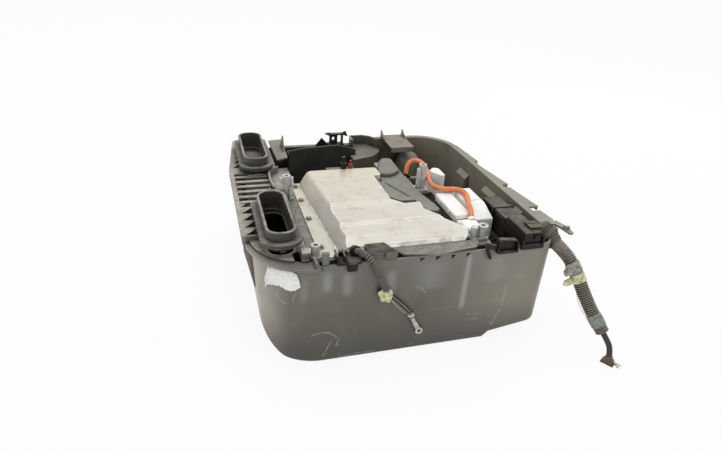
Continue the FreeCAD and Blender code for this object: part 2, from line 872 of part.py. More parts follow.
def battery_tray():
    """Cast frame: floor on feet, walls with an air vent, divider, top flange and front lip."""
    shell = block(tray_left, tray_right, tray_front, tray_back, tray_floor_z, tray_flange_top, 8)
    flange_z = tray_flange_top - tray_flange_thick
    flange = block(
        tray_flange_left, tray_flange_right, tray_front, tray_flange_back, flange_z, tray_flange_top, 8)
    cell_room = block(
        tray_left + tray_wall, tray_divider_x, tray_front + tray_wall, tray_back - tray_wall,
        tray_floor_z + tray_wall, tray_flange_top + 1, 5)
    side_room = block(
        tray_divider_x + tray_wall, tray_right - tray_wall, tray_front + tray_wall, tray_back - tray_wall,
        tray_floor_z + tray_wall, tray_flange_top + 1, 5)
    body = cut(fuse(shell, flange), cell_room, side_room)
    post_x, post_y = rear_right_post[:2]
    ledge = block(post_x - 14, tray_right - 1, post_y - 16, post_y + 16, flange_z, tray_flange_top)
    lip = prism([
        (lip_left, tray_front + 1, 2),
        (lip_left + 14, tub_front + 7, 6),
        (lip_middle, tub_front - 2, 60),
        (lip_right - 12, tub_front + 7, 6),
        (lip_right, tray_front + 1, 2),
    ], rim_low, tray_lip_top)
    web = block(lip_left + 4, lip_right - 4, tray_front, tray_front + tray_wall, flange_z, tray_lip_top)
    feet = []
    middle_y = (tray_front + tray_back - tray_foot_size) / 2
    for x in (tray_left + 20, tray_divider_x - tray_foot_size / 2, tray_right - 10 - tray_foot_size):
        for y in (tray_front + 15, middle_y, tray_back - 15 - tray_foot_size):
            feet.append(block(x, x + tray_foot_size, y, y + tray_foot_size, tub_wall, tray_floor_z, 5))
    vent_low = duct_floor_z + duct_wall
    vent = block(
        tray_left - 1, tray_left + tray_wall + 1, front_collar_y - tray_vent_width / 2,
        front_collar_y + tray_vent_width / 2, vent_low, vent_low + tray_vent_height)
    body = fuse(body, ledge, lip, web, *feet)
    return cut(body, vent, *[drum(x, y, flange_z - 1, tray_flange_top + 1, screw_r + screw_gap)
                             for x, y in cover_screw_places])


def cover_plan():
    """Plan outline of the cover's pan, with the notch for the electronics."""
    r = cover_corner_r
    return [
        (cover_front_left, cover_front, r),
        (cover_nose_x, cover_front, r),
        (cover_right, cover_front + 18, 6),
        (notch_step_x - 3, notch_front_y - 27, 4),
        (notch_step_x, notch_front_y, 3),
        (notch_left_x + 22, notch_front_y - 1, 8),
        (notch_left_x, notch_front_y + 14, 8),
        (notch_left_x, notch_back_y, 4),
        (notch_left_x + 16, notch_back_y, 4),
        (notch_left_x + 16, cover_back, 6),
        (cover_left, cover_back, r + 6),
    ]


def cover_pan(inset):
    """Pan as a solid: plan carried up, with its stepped top and sloping left side."""
    seat = tray_flange_top
    plan = outline(cover_plan(), seat - inset)
    if inset > 0:
        plan = plan.makeOffset2D(-inset)
    pan = Part.Face(plan).extrude(V(0, 0, cover_top - seat + 10))
    top = cover_top - inset
    middle = top - cover_step
    low = middle - cover_step
    above = cover_top + 20
    ends = (cover_front - 5, cover_back + 5)
    over = prism([
        (ends[1], above, 0),
        (ends[1], top, 0),
        (cover_ridge_back, top, 2),
        (cover_ridge_back - 14, middle, 2),
        (cover_ridge_front, middle, 2),
        (cover_ridge_front - 8, low, 2),
        (cover_front + 26, low, 6),
        (cover_front + 14, low - 5, 4),
        (cover_front + 4, low - 7, 3),
        (ends[0], seat + 2, 0),
        (ends[0], above, 0),
    ], cover_left - 5, cover_right + 5, "yz")
    left = prism([
        (cover_left - 5, seat + 2, 0),
        (cover_left + inset * 1.3, seat + 2, 0),
        (cover_left + cover_side_slope + inset * 1.3, top, 12),
        (cover_left + cover_side_slope * 3, top, 0),
        (cover_left + cover_side_slope * 3, above, 0),
        (cover_left - 5, above, 0),
    ], cover_front - 25, cover_back + 25, "xz")
    turn = math.degrees(math.atan2(cover_front_left - cover_left, cover_back - cover_front))
    left.rotate(V(cover_left, cover_back, 0), V(0, 0, 1), turn)
    return cut(pan, over, left)


def battery_cover():
    """Stamped aluminium pan with a sloping side, stepped top, flange and rear ears."""
    seat = tray_flange_top
    flange = block(
        cover_flange_left, cover_front_left + 20, cover_front, cover_back, seat, seat + cover_skin, 4)
    ears = []
    for x in cover_ear_xs:
        ear = block(x - 6, x + 6, cover_back - 6, cover_back + 10, cover_top - 8, cover_top - 5, 4)
        ears.append(ear.cut(drum(x, cover_back + 4, seat, cover_top, 2.6)))
    body = fuse(cover_pan(0.0), flange, *ears).cut(cover_pan(cover_skin))
    holes = [drum(x, y, seat - 1, seat + 4, screw_r + screw_gap) for x, y in cover_screw_places]
    return cut(body, *holes)


def module_place(index):
    """Left face of a cell module."""
    room = tray_divider_x - tray_left - tray_wall
    pitch = room / module_count
    return tray_left + tray_wall + index * pitch + module_gap / 2, pitch - module_gap


def module_ends():
    """Front and back faces of the modules, between their end plates."""
    front = tray_front + tray_wall + module_end_gap + end_plate_thick
    return front, tray_back - tray_wall - module_end_gap - end_plate_thick


def terminal_places():
    """Two terminals on every module."""
    places = []
    front, back = module_ends()
    for i in range(module_count):
        x, width = module_place(i)
        places.append((x + width / 2, front + 14))
        places.append((x + width / 2, back - 14))
    return places


def cell_module(index):
    """Sealed module with rounded long edges, cooling ribs and two terminals."""
    x, width = module_place(index)
    front, back = module_ends()
    base = tray_floor_z + tray_wall
    body = prism([
        (x, base, module_round_r),
        (x + width, base, module_round_r),
        (x + width, base + module_height, module_round_r),
        (x, base + module_height, module_round_r),
    ], front, back, "xz")
    slots = []
    for y in (front + 45, (front + back) / 2, back - 45):
        slots.append(block(x - 1, x + 1, y - 8, y + 8, base + 12, base + module_height - 12))
        slots.append(block(x + width - 1, x + width + 1, y - 8, y + 8, base + 12, base + module_height - 12))
    top = base + module_height
    studs = [drum(sx, sy, top - 1, top + terminal_height, terminal_r)
             for sx, sy in terminal_places()[2 * index:2 * index + 2]]
    return fuse(cut(body, *slots), *studs)


def end_plate(at_front):
    """Ribbed plate that clamps the modules."""
    front, back = module_ends()
    y0 = front - end_plate_thick if at_front else back
    base = tray_floor_z + tray_wall
    x0 = tray_left + tray_wall + 2
    x1 = tray_divider_x - 2
    plate = block(x0, x1, y0, y0 + end_plate_thick, base, base + module_height - 4)
    windows = []
    pitch = (x1 - x0) / 5
    face = y0 - 1 if at_front else y0 + end_plate_thick - 3
    for i in range(5):
        for low in (base + 12, base + module_height / 2 + 4):
            windows.append(block(
                x0 + i * pitch + 4, x0 + (i + 1) * pitch - 4,
                face, face + 4, low, low + module_height / 2 - 24, 1.5))
    return cut(plate, *windows)


def busbars():
    """Copper links across neighbouring terminals."""
    places = terminal_places()
    z = tray_floor_z + tray_wall + module_height + terminal_height
    links = []
    for i in range(module_count - 1):
        side = i % 2
        x0, y = places[2 * i + side]
        x1 = places[2 * (i + 1) + side][0]
        half = busbar_width / 2
        links.append(block(x0 - half, x1 + half, y - half, y + half, z, z + busbar_thick, half - 0.5))
    return Part.makeCompound(links)


def cell_monitor_board():
    """Circuit board on standoffs over the middle of the modules, with its chips."""
    front, back = module_ends()
    base = tray_floor_z + tray_wall + module_height
    middle = (front + back) / 2
    x0, width = module_place(0)
    x1 = module_place(module_count - 1)[0] + width
    z = base + 8
    board = block(x0 + 12, x1 - 12, middle - 38, middle + 38, z, z + board_thick, 4)
    legs = [drum(x, y, base, z, 3.0) for x in (x0 + width / 2, x1 - width / 2)
            for y in (middle - 30, middle + 30)]
    chips = []
    for i in range(module_count):
        x = module_place(i)[0] + width / 2
        chips.append(block(x - 6, x + 6, middle - 10, middle + 4, z + board_thick, z + board_thick + 2))
        chips.append(block(x - 8, x + 8, middle + 22, middle + 32, z + board_thick, z + board_thick + 7))
    return fuse(board, *legs, *chips)


def power_converter():
    """Cast converter housing: base in the tray, finned neck and a rear wing."""
    left = tray_divider_x + tray_wall + 2
    base = tray_floor_z + tray_wall
    low = block(left, tray_right - tray_wall - 3, converter_front, tray_back - tray_wall - 4, base, 150, 6)
    neck_right = rear_right_post[0] - 16
    neck = block(left, neck_right, converter_front, tray_back - tray_wall - 4, base, converter_top, 5)
    fins = []
    span = neck_right - left - fin_thick - 8
    count = int(span // fin_pitch)
    for i in range(count + 1):
        x = left + 4 + i * fin_pitch
        fins.append(block(
            x, x + fin_thick, converter_front - fin_height, converter_front + 1, 60, converter_top - 12))
    bridge = block(wing_left, wing_right, 20, wing_back, tray_flange_top, converter_top, 4)
    wing = block(wing_left, wing_right, tray_flange_back + 3, wing_back, 120, converter_top, 4)
    return fuse(low, neck, bridge, wing, *fins)


def electronics_cover():
    """Grey moulded plate over the converter, with its long front tongue."""
    z = converter_top
    plate = prism([
        (plate_left, notch_back_y - 2, 3),
        (plate_left, plate_front + 30, 8),
        (plate_left + 25, plate_front, 8),
        (plate_left + 55, plate_front - 2, 3),
        (plate_left + 61, plate_tongue_y + 8, 6),
        (plate_left + 87, plate_tongue_y, 8),
        (plate_left + 85, plate_tongue_y + 34, 10),
        (plate_left + 72, -34, 8),
        (plate_left + 72, 34, 8),
        (plate_left + 74, wing_back + 2, 6),
        (plate_left + 45, wing_back, 10),
        (plate_left + 22, 66, 10),
        (plate_left + 17, notch_back_y - 2, 2),
    ], z, z + plate_thick)
    rib = prism([
        (plate_left + 21, 8, 2),
        (plate_left + 47, -58, 2),
        (plate_left + 51, -56, 2),
        (plate_left + 25, 10, 2),
    ], z + plate_thick - 1, z + plate_thick + 1.5)
    return fuse(plate, rib)


def electronics_lid():
    """Raised rear lobe with a curved front edge, seated on the plate."""
    z = converter_top + plate_thick
    lobe = prism([
        (plate_left + 18, 42, 6),
        (plate_left + 43, 30, 26),
        (plate_left + 67, 56, 10),
        (plate_left + 69, wing_back - 4, 12),
        (plate_left + 47, wing_back - 6, 10),
        (plate_left + 25, 72, 12),
    ], z, z + lobe_height)
    return soften_top(lobe, z + lobe_height, 3.0)


def post(place, lobes, foot, outer_r):
    """Cast post: holed column, side lobes joined by webs, and a foot on the tray's flange."""
    x, y, top = place
    seat = tray_flange_top
    parts = [drum(x, y, seat, top, outer_r)]
    for dx, dy, r, drop, low in lobes:
        parts.append(drum(x + dx, y + dy, low, top - drop, r))
        length = math.hypot(dx, dy)
        web = Part.makeBox(length, 4.0, top - drop - 3 - low, V(0, -2.0, 0))
        angle = math.degrees(math.atan2(dy, dx))
        web.Placement = FreeCAD.Placement(V(x, y, low), FreeCAD.Rotation(V(0, 0, 1), angle))
        parts.append(web)
    x0, x1, y0, y1 = foot
    parts.append(block(x + x0, x + x1, y + y0, y + y1, seat, seat + post_foot_thick, 4))
    body = fuse(*parts)
    return body.cut(drum(x, y, top - post_bore_depth, top + 1, post_bore_r))


def cover_screws():
    """Screws through the cover's flange, each with a washer head and a hexagon."""
    seat = tray_flange_top + cover_skin
    screws = []
    for x, y in cover_screw_places:
        washer = drum(x, y, seat, seat + 1.2, screw_r + 3.2)
        hexagon = Part.Face(Part.makePolygon([
            V(x + 4.2 * math.cos(math.radians(60 * i)), y + 4.2 * math.sin(math.radians(60 * i)), seat + 1.2)
            for i in range(7)])).extrude(V(0, 0, 3.0))
        shank = drum(x, y, tray_flange_top - tray_flange_thick, seat, screw_r)
        screws.append(fuse(washer, hexagon, shank))
    return Part.makeCompound(screws)


def side_bracket():
    """Folded shelf on the tray's right wall, with gussets under it."""
    wall = block(tray_right, tray_right + shelf_thick, shelf_front, tray_back - 4,
                 shelf_z - shelf_flange_drop, shelf_z + shelf_thick)
    shelf = block(tray_right, shelf_right, shelf_front, shelf_back, shelf_z, shelf_z + shelf_thick)
    gussets = []
    for y in (shelf_front, (shelf_front + tray_back) / 2, tray_back - 4 - shelf_thick):
        gussets.append(prism([
            (tray_right + 1, shelf_z - shelf_flange_drop, 0),
            (shelf_right - 12, shelf_z + 1, 0),
            (tray_right + 1, shelf_z + 1, 0),
        ], y, y + shelf_thick, "xz"))
    slot = block(shelf_right - 9, shelf_right - 4, -20, -4, shelf_z - 1, shelf_z + shelf_thick + 1, 2.4)
    return fuse(wall, shelf, *gussets).cut(slot)


def relay_box():
    """White relay housing with chamfered corners on its inner side and two snap ribs."""
    x0, x1, y0, y1, top = relay_box_size
    base = shelf_z + shelf_thick
    body = prism([
        (x0, y0 + 22, 2),
        (x0 + 16, y0, 3),
        (x1, y0, 3),
        (x1, y1 - 6, 2),
        (x1 - 8, y1, 2),
        (x0 + 12, y1, 2),
        (x0, y1 - 12, 2),
    ], base, top)
    body = soften_top(body, top, 1.5)
    ribs = [block(x1 - 1, x1 + 1.5, y, y + 4, base + 4, top - 8) for y in (y0 + 8, y0 + 26)]
    return fuse(body, *ribs)


def fuse_box():
    """White fuse housing on the tray's flange, open at the top under its lid."""
    x0, x1, y0, y1, top = fuse_box_size
    base = tray_flange_top
    body = block(x0, x1, y0, y1, base, top - fuse_lid_height, 3)
    return body.cut(block(x0 + 2.5, x1 - 2.5, y0 + 2.5, y1 - 2.5, base + 3, top, 2))


def fuse_box_lid():
    """Long lid with a rounded top and two snap hooks."""
    x0, x1, y0, y1, top = fuse_box_size
    lid = block(x0 - 1, x1 + 1, y0 - 1, y1 + 1, top - fuse_lid_height, top, 3)
    lid = soften_top(lid, top, 2.5)
    lid = lid.cut(block(x0 + 2, x1 - 2, y0 + 2, y1 - 2, top - fuse_lid_height - 1, top - 2.5, 2))
    hook_low = top - fuse_lid_height
    hooks = [block(x0 - 2.5, x0 - 0.6, y - 4, y + 4, hook_low, top - 3) for y in (y0 + 26, y1 - 26)]
    return fuse(lid, *hooks)


def junction_box():
    """White junction housing with a sloped front end and a socket for its service cap."""
    x0, x1, y0, y1, top = junction_box_size
    base = shelf_z + shelf_thick
    body = prism([
        (y0, base, 0),
        (y1, base, 0),
        (y1, top, 3),
        (y0 + 40, top, 3),
        (y0, top - 14, 3),
    ], x0, x1, "yz")
    rib = block(x0 + 6, x1 - 6, y0 + 52, y0 + 56, top - 1, top + 1)
    rim = block(x1 - 1, x1 + cap_rim, y0 + 34, y0 + 54, top - 26, top - 5)
    return fuse(body, rib, rim)


def service_cap():
    """Coloured service cap on the junction box's right side."""
    x0, x1, y0, y1, top = junction_box_size
    seat = x1 + cap_rim
    cap = block(seat, seat + cap_depth, y0 + 36, y0 + 52, top - 24, top - 7, 2)
    grip = block(seat + cap_depth - 1, seat + cap_depth + 1.5, y0 + 42, y0 + 46, top - 22, top - 9)
    return fuse(cap, grip)


def collar_at(point, following, r, length):
    """Round collar whose face meets a cable's first face."""
    axis = V(*point) - V(*following)
    return towards(Part.makeCylinder(r, length), point, tuple(axis))


def hv_socket():
    """Black cable socket on the tray's back flange."""
    x, y, z = hv_route[0]
    body = block(x - 9, x + 9, y - 7, tray_flange_back - 1, tray_flange_top, z - 3, 2)
    return fuse(body, collar_at(hv_route[0], hv_route[1], hv_r + 2.0, 5.0))


def hv_plug():
    """White domed plug that takes the high-voltage cable at the front."""
    x0, x1, y0, y1, top = hv_plug_size
    body = block(x0, x1, y0, y1, tray_flange_top, top, 9)
    body = soften_top(body, top, 5.0)
    tail_back = fuse_box_size[2] - 1 - seat_gap
    tail = block(x0 + 2, x1 - 2, y1 - 9, tail_back, tray_flange_top, tray_flange_top + 4.5)
    gland = collar_at(hv_route[-1], hv_route[-2], hv_r + 1.5, 6.0)
    return fuse(body, tail, gland)


def control_box():
    """Long black box with a stepped lid, held to the right wall by two arms."""
    x0, x1, y0, y1, top = control_box_size
    base = top - control_box_height
    body = block(x0, x1, y0, y1, base, top - 9, 2)
    lid = block(x0 - 1, x1 + 1, y0 - 1, y1 + 1, top - 9, top, 2)
    wall = tub_right - tub_wall
    arms = [block(x1 - 1, wall, y - 5, y + 5, base + 8, base + 24) for y in (y0 + 25, y1 - 25)]
    return fuse(body, lid, *arms)


def control_box_clips():
    """Two spring bands over the control box's lid."""
    x0, x1, y0, y1, top = control_box_size
    outer = clip_thick + 1
    bands = []
    for y in (y0 + 5, y1 - 38 - clip_band):
        band = block(x0 - outer, x1 + outer, y, y + clip_band, top - 22, top + clip_thick)
        band = band.cut(block(x0 - 1, x1 + 1, y - 1, y + clip_band + 1, top - 23, top))
        bands.append(band)
    return Part.makeCompound(bands)


def connector_block():
    """Black connector on the front rim: trapezoid mouth, round hole, light tab and a rear stage."""
    x0, x1, y0, y1, top = connector_block_size
    seat = rim_low
    section = [
        (x0, seat, 2),
        (x1, seat, 2),
        (x1 - 1, top - 9, 5),
        (x1 - 10, top, 4),
        (x0 + 3, top, 3),
    ]
    recess = [
        (x0 + 3, seat + 3, 1),
        (x1 - 3, seat + 3, 1),
        (x1 - 4, top - 10, 4),
        (x1 - 12, top - 3, 3),
        (x0 + 5, top - 3, 1),
    ]
    skirt = block(x0, x1, y0, tub_front - seat_gap, seat - 5, seat + 1)
    body = fuse(prism(section, y0, y1, "xz"), skirt).cut(prism(recess, y0 - 1, y0 + 5, "xz"))
    boss_z = top - 12
    hole = Part.makeCylinder(connector_hole_r, 30, V(x1 - 14, y0 + 4, boss_z), V(0, 1, 0))
    ring = Part.makeCylinder(connector_hole_r + 2, 4, V(x1 - 14, y0 + 2, boss_z), V(0, 1, 0))
    tab = block(x0 + 18, x1 - 1, y0 + 12, y0 + 36, top - 1, top + connector_tab_thick, 2)
    groove = block(x0 + 17, x1, y0 + 26, y0 + 28, top + 1, top + connector_tab_thick + 1)
    box_x0, box_x1, box_y0 = control_box_size[:3]
    stage = block(box_x0 + 1, box_x1 - 4, y1 - 1, box_y0 - 1, top - 50, top - 17)
    body = fuse(body, ring, tab, stage)
    return cut(body, hole, groove)


def grommet_profile(extra):
    """Half section of the grommet about its axis, from inside end to mouth."""
    return [
        (0.0, -grommet_length),
        (grommet_r - 6 + extra, -grommet_length),
        (grommet_r - 2 + extra, -grommet_length + 5),
        (grommet_r - 2 + extra, -grommet_length + 11),
        (grommet_r - 4 + extra, -grommet_length + 12),
        (grommet_r - 4 + extra, -grommet_length + 18),
        (grommet_r + extra, -grommet_length + 19),
        (grommet_r + extra, -16.0),
        (grommet_r - 3 + extra, -14.0),
        (harness_r + 3.5 + extra, -8.0),
        (harness_r + 3.5 + extra, -5.0),
        (harness_r + 2.0 + extra, -4.0),
        (harness_r + 1.5 + extra, 0.0),
        (0.0, 0.0),
    ]


def grommet_solid(extra):
    """Grommet as a turned solid on its axis, grown by an amount."""
    points = [V(r, 0, along) for r, along in grommet_profile(extra)]
    face = Part.Face(Part.makePolygon(points + points[:1]))
    bell = face.revolve(V(0, 0, 0), V(0, 0, 1), 360)
    return towards(bell, harness_route[0], tuple(V(*harness_route[1]) - V(*harness_route[0])))


def cable_grommet():
    """Ribbed rubber bell that seals the corner notch and grips the conduit."""
    return grommet_solid(0.0)


def corner_hook():
    """Moulded hook on the outer side of the right rim, seated along the last pad's edge."""
    (x0, y0), (x1, y1) = rim_pad_plans[-1][1:]
    first = 0.28
    last = 0.89
    arm = prism([
        (x0 + (x1 - x0) * last, y0 + (y1 - y0) * last, 0),
        (x0 + (x1 - x0) * first, y0 + (y1 - y0) * first, 0),
        (x0 + 4, y0 - 7, 2),
        (x0 + 10, y0 - 30, 4),
        (x0 + 8, y0 - 54, 2),
        (x0, y0 - 54, 2),
        (x0 - 4, y0 - 27, 2),
    ], rim_high - rim_flange_thick, rim_high)
    horn = prism([
        (y0 - 41, rim_high - 1, 0),
        (y0 - 31, rim_high - 1, 0),
        (y0 - 35, rim_high + 5, 1),
        (y0 - 41, rim_high + 5, 1),
    ], x0, x0 + 8, "yz")
    return fuse(arm, horn)


def earth_clip():
    """Clip on the front edge: V ribs, a collar for the earth lead and a lug over the wall."""
    z = rim_low
    x, y, height = earth_route[0]
    base = block(clip_left, clip_right, tub_front - 3, y + 8, z, z + 4, 2)
    fins = []
    for x in (clip_left + 2, clip_left + 14):
        fins.append(prism([
            (x, z + 3, 0),
            (x + 3, z + 3, 0),
            (x - 1, z + 17, 0),
            (x - 4, z + 17, 0),
        ], tub_front - 2, tub_front + 20, "xz"))
    stand = block(x - 7, x + 7, y + 1, y + 7, z + 3, height)
    collar = collar_at(earth_route[0], earth_route[1], earth_r + 2.2, 9.0)
    lug = block(clip_left + 16, clip_left + 32, tub_front - 6, tub_front, z - 11, z + 3, 2.5)
    return fuse(base, stand, collar, lug, *fins)


def front_bridge():
    """Raised cover plate over the front edge, on a front wall and a rear leg."""
    high = rim_low + bridge_height
    wall = block(bridge_left, bridge_right, tub_front, tub_front + 3, rim_low, high)
    plate = prism([
        (bridge_left, tub_front - 1, 1),
        (bridge_right, tub_front - 1, 1),
        (bridge_right - 12, tray_front + 4, 2),
        (bridge_left, tray_front + 4, 2),
    ], high - 4, high)
    leg = block(bridge_left, bridge_right - 14, tray_front, tray_front + 3, tray_flange_top, high)
    rib = block(bridge_left + 20, bridge_left + 23, tub_front, tray_front + 3, rim_low, high)
    x0, x1, z0, z1 = bridge_lug
    lug = prism([(x0, z0, 7), (x1, z0, 7), (x1, z1, 2), (x0, z1, 2)], tub_front - 3, tub_front + 1, "xz")
    return fuse(wall, plate, leg, rib, lug)


def rim_pocket():
    """Dark cup and small hooked clip moulded to hang on the front wall."""
    x0, x1, low, high = pocket_size
    outer = [(x0, low, 2), (x1, low, 2), (x1 - 2, high - 4, 9), (x0 + 2, high, 4)]
    inner = [
        (x0 + 2.5, low + 2.5, 1),
        (x1 - 2.5, low + 2.5, 1),
        (x1 - 4.5, high - 6, 7),
        (x0 + 4.5, high - 2.5, 2),
    ]
    cup = prism(outer, tub_front - pocket_depth, tub_front, "xz")
    cup = cup.cut(prism(inner, tub_front - pocket_depth - 1, tub_front - 2.5, "xz"))
    hook = prism([
        (x0 + 1, high - 14, 0),
        (x0 - 19, high - 7, 2),
        (x0 - 22, high - 13, 1),
        (x0 - 16, low + 2, 3),
        (x0 - 9, low - 12, 0.5),
        (x0 - 6, low - 10, 0.5),
        (x0 - 12, low + 4, 3),
        (x0 - 15, high - 19, 1),
        (x0 + 1, high - 20, 0),
    ], tub_front - 5, tub_front, "xz")
    return fuse(cup, hook)


def rear_bracket():
    """Flat bracket on the back rim with two pointed gussets."""
    x0, x1, y0, y1 = rear_bracket_size
    z = rim_high
    plate = block(x0, x1, y0, y1, z, z + 3, 2)
    lip = block(x0 + 2, x1 - 2, y0, y0 + 3, z - 9, z + 2)
    fins = [prism([
        (y1 - 44, z + 1, 0),
        (y1, z + 1, 0),
        (y1 - 2, z + 18, 1),
        (y1 - 10, z + 13, 4),
    ], x, x + 2.5, "yz") for x in (x0, x1 - 2.5)]
    return fuse(plate, lip, *fins)


def rear_clip():
    """Clip on the low back rim: base, slotted upright, cross pin, fin and a pointed tab."""
    x, y = rear_clip_place
    z = rim_low
    base = block(x - 20, x + 20, y - 8, y + 8, z, z + 4, 2)
    upright = block(x - 14, x + 4, y - 5, y + 5, z + 3, z + 27)
    slot = block(x - 9, x - 2, y - 6, y + 6, z + 11, z + 21)
    pin = Part.makeCylinder(2.4, 12, V(x - 24, y, z + 28), V(1, 0, 0))
    top = block(x - 20, x + 24, y - 6, y + 6, z + 25, z + 28)
    fin = prism([(x + 10, z + 27, 0), (x + 30, z + 20, 0), (x + 24, z + 34, 0)], y - 3, y, "xz")
    leg = block(x + 14, x + 18, y - 5, y + 5, z + 3, z + 26)
    tab = prism([(x - 50, z, 0), (x - 19, z, 0), (x - 19, z + 4, 0), (x - 34, z + 20, 1)], y - 6, y - 3, "xz")
    return fuse(base, upright.cut(slot), pin, top, fin, leg, tab)


def rear_left_bracket():
    """Flat bracket beside the deck, on a leg over the low back rim, with an upright fin."""
    z = left_bracket_z
    plate = prism(left_bracket_plan, z, z + 3)
    x = left_bracket_plan[2][0]
    leg = block(x - 20, x - 6, tub_back - 2, tub_back + rim_flange_reach - 1, rim_low, z + 1)
    fin = prism([
        (deck_base_back - 46, z + 2, 0),
        (deck_base_back, z + 2, 0),
        (deck_base_back - 24, z + 34, 1),
    ], x - 4, x - 1, "yz")
    return fuse(plate, leg, fin)


def sense_connector():
    """Grey signal connector on the tray's back flange."""
    x, y, z = sense_place
    body = block(x - 29, x + 29, y, y + 12, tray_flange_top, z, 1.5)
    low = tray_flange_top + 2
    keys = [block(x - 24 + i * 16, x - 18 + i * 16, y - 1.5, y + 1, low, z - 2) for i in range(3)]
    return fuse(body, *keys)


def black_plug():
    """Black plug in the signal connector."""
    x, y, z = sense_place
    body = block(x + 2, x + 13, y + 1, y + 11, z, z + 12, 1.5)
    return fuse(body, block(x + 4, x + 10, y + 3, y + 9, z + 11, z + 25, 1))


def red_plug():
    """Small red lock tab beside the black plug."""
    x, y, z = sense_place
    body = block(x + 18, x + 26, y + 2, y + 10, z, z + 8, 1)
    return fuse(body, block(x + 20, x + 24, y + 4, y + 8, z + 7, z + 16, 1))


def ring_on(start, end, r, thick, margin):
    """Sleeve on a straight run of a cable."""
    axis = V(*end) - V(*start)
    length = axis.Length - 2 * margin
    unit = V(axis.x, axis.y, axis.z).normalize()
    origin = V(*start) + unit * margin
    sleeve = Part.makeCylinder(r + thick, length).cut(Part.makeCylinder(r, length + 2, V(0, 0, -1)))
    return towards(sleeve, tuple(origin), tuple(unit))


def harness_tapes():
    """Grey tape below the grommet and a worn wrap near the conduit's end."""
    upper = tape_on(harness_route, harness_r, *tape_spans[0])
    lower = tape_on(harness_route, harness_r, *tape_spans[2])
    return Part.makeCompound([upper, lower])


def tape_on(route, r, first, last):
    """Band of tape round a cable between two of its planes across the route's chord."""
    path, radii = tube_path(route)
    start = V(*route[0])
    along = V(*route[1]) - start
    ring = Part.Wire([Part.Circle(start, along, r + tape_thick).toShape()])
    outer = path.makePipeShell([ring], True, False)
    inner = path.makePipeShell([Part.Wire([Part.Circle(start, along, r).toShape()])], True, False)
    chord = V(*route[-1]) - start
    unit = V(chord.x, chord.y, chord.z).normalize()
    bar = Part.makeCylinder(90, (last - first) * chord.Length)
    slab = towards(bar, tuple(start + unit * (first * chord.Length)), tuple(unit))
    return outer.common(slab).cut(inner)


def torn_boot():
    """Torn connector boot that lies on the floor under the cable's end."""
    x, y, z = tail_route[-1]
    length, width, height = boot_size
    boot = prism([
        (-length * 0.45, 0.0, 1.5),
        (length * 0.5, 0.0, 1.0),
        (length * 0.28, height * 0.8, 2.0),
        (-length * 0.2, height, 2.0),
    ], -width / 2, width / 2, "xz")
    boot.Placement = FreeCAD.Placement(V(x, y, 0), FreeCAD.Rotation(V(0, 0, 1), boot_turn))
    gland = collar_at(tail_route[-1], tail_route[-2], tail_r + 1.2, 7.0)
    floor = block(x - 60, x + 60, y - 60, y + 60, 0, 90)
    return fuse(boot, gland).common(floor)


def frayed_strands():
    """Bare wire strands that splay from the torn boot along the floor."""
    x, y, z = tail_route[-1]
    root = V(x, y, 3.0) + V(math.cos(math.radians(boot_turn)), math.sin(math.radians(boot_turn)), 0) * (
        boot_size[0] * 0.5 - 1.0)
    strands = []
    for spread, rise, length in strand_fan:
        angle = math.radians(boot_turn + spread)
        tip = root + V(math.cos(angle) * length, math.sin(angle) * length, rise - 3.0)
        axis = tip - root
        strands.append(towards(Part.makeCylinder(strand_r, axis.Length), tuple(root), tuple(axis)))
    whole = strands[0].multiFuse(strands[1:])
    return whole.cut(torn_boot())


def earth_tape():
    """Lump of yellow-green tape where the wire leaves the small conduit."""
    return ring_on(earth_route[-2], earth_route[-1], earth_r, 2.0, 3.2)


def ring_terminal():
    """Crimped ring terminal that hangs from the earth wire against the front wall."""
    x, y, z = earth_wire_route[-1]
    x0, y0, z0 = earth_wire_route[-2]
    angle = math.degrees(math.atan2(x - x0, z0 - z))
    barrel = Part.makeCylinder(earth_wire_r + 1.4, 12, V(0, 0, 0), V(0, 0, -1))
    barrel = barrel.cut(Part.makeCylinder(earth_wire_r - 0.4, 9, V(0, 0, -3.0), V(0, 0, -1)))
    half = terminal_plate / 2
    tongue = prism([
        (-3.5, -11.0, 0),
        (3.5, -11.0, 0),
        (4.4, -terminal_length + 4, 0),
        (-4.4, -terminal_length + 4, 0),
    ], -half, half, "xz")
    eye = Part.makeCylinder(terminal_eye_r, terminal_plate, V(0, -half, -terminal_length), V(0, 1, 0))
    centre = V(0, -half - 1, -terminal_length)
    hole = Part.makeCylinder(terminal_hole_r, terminal_plate + 2, centre, V(0, 1, 0))
    whole = fuse(barrel, tongue, eye).cut(hole)
    whole.Placement = FreeCAD.Placement(V(x, y, z), FreeCAD.Rotation(V(0, 1, 0), -angle))
    return whole


def torn_label():
    """Crumpled remains of a blank paper label round the front left corner."""
    skin = tub_body(-label_thick).cut(tub_body(0.0))
    patch = prism(label_outline, tub_front - 5, tub_front + left_corner_r, "xz")
    return skin.common(patch)


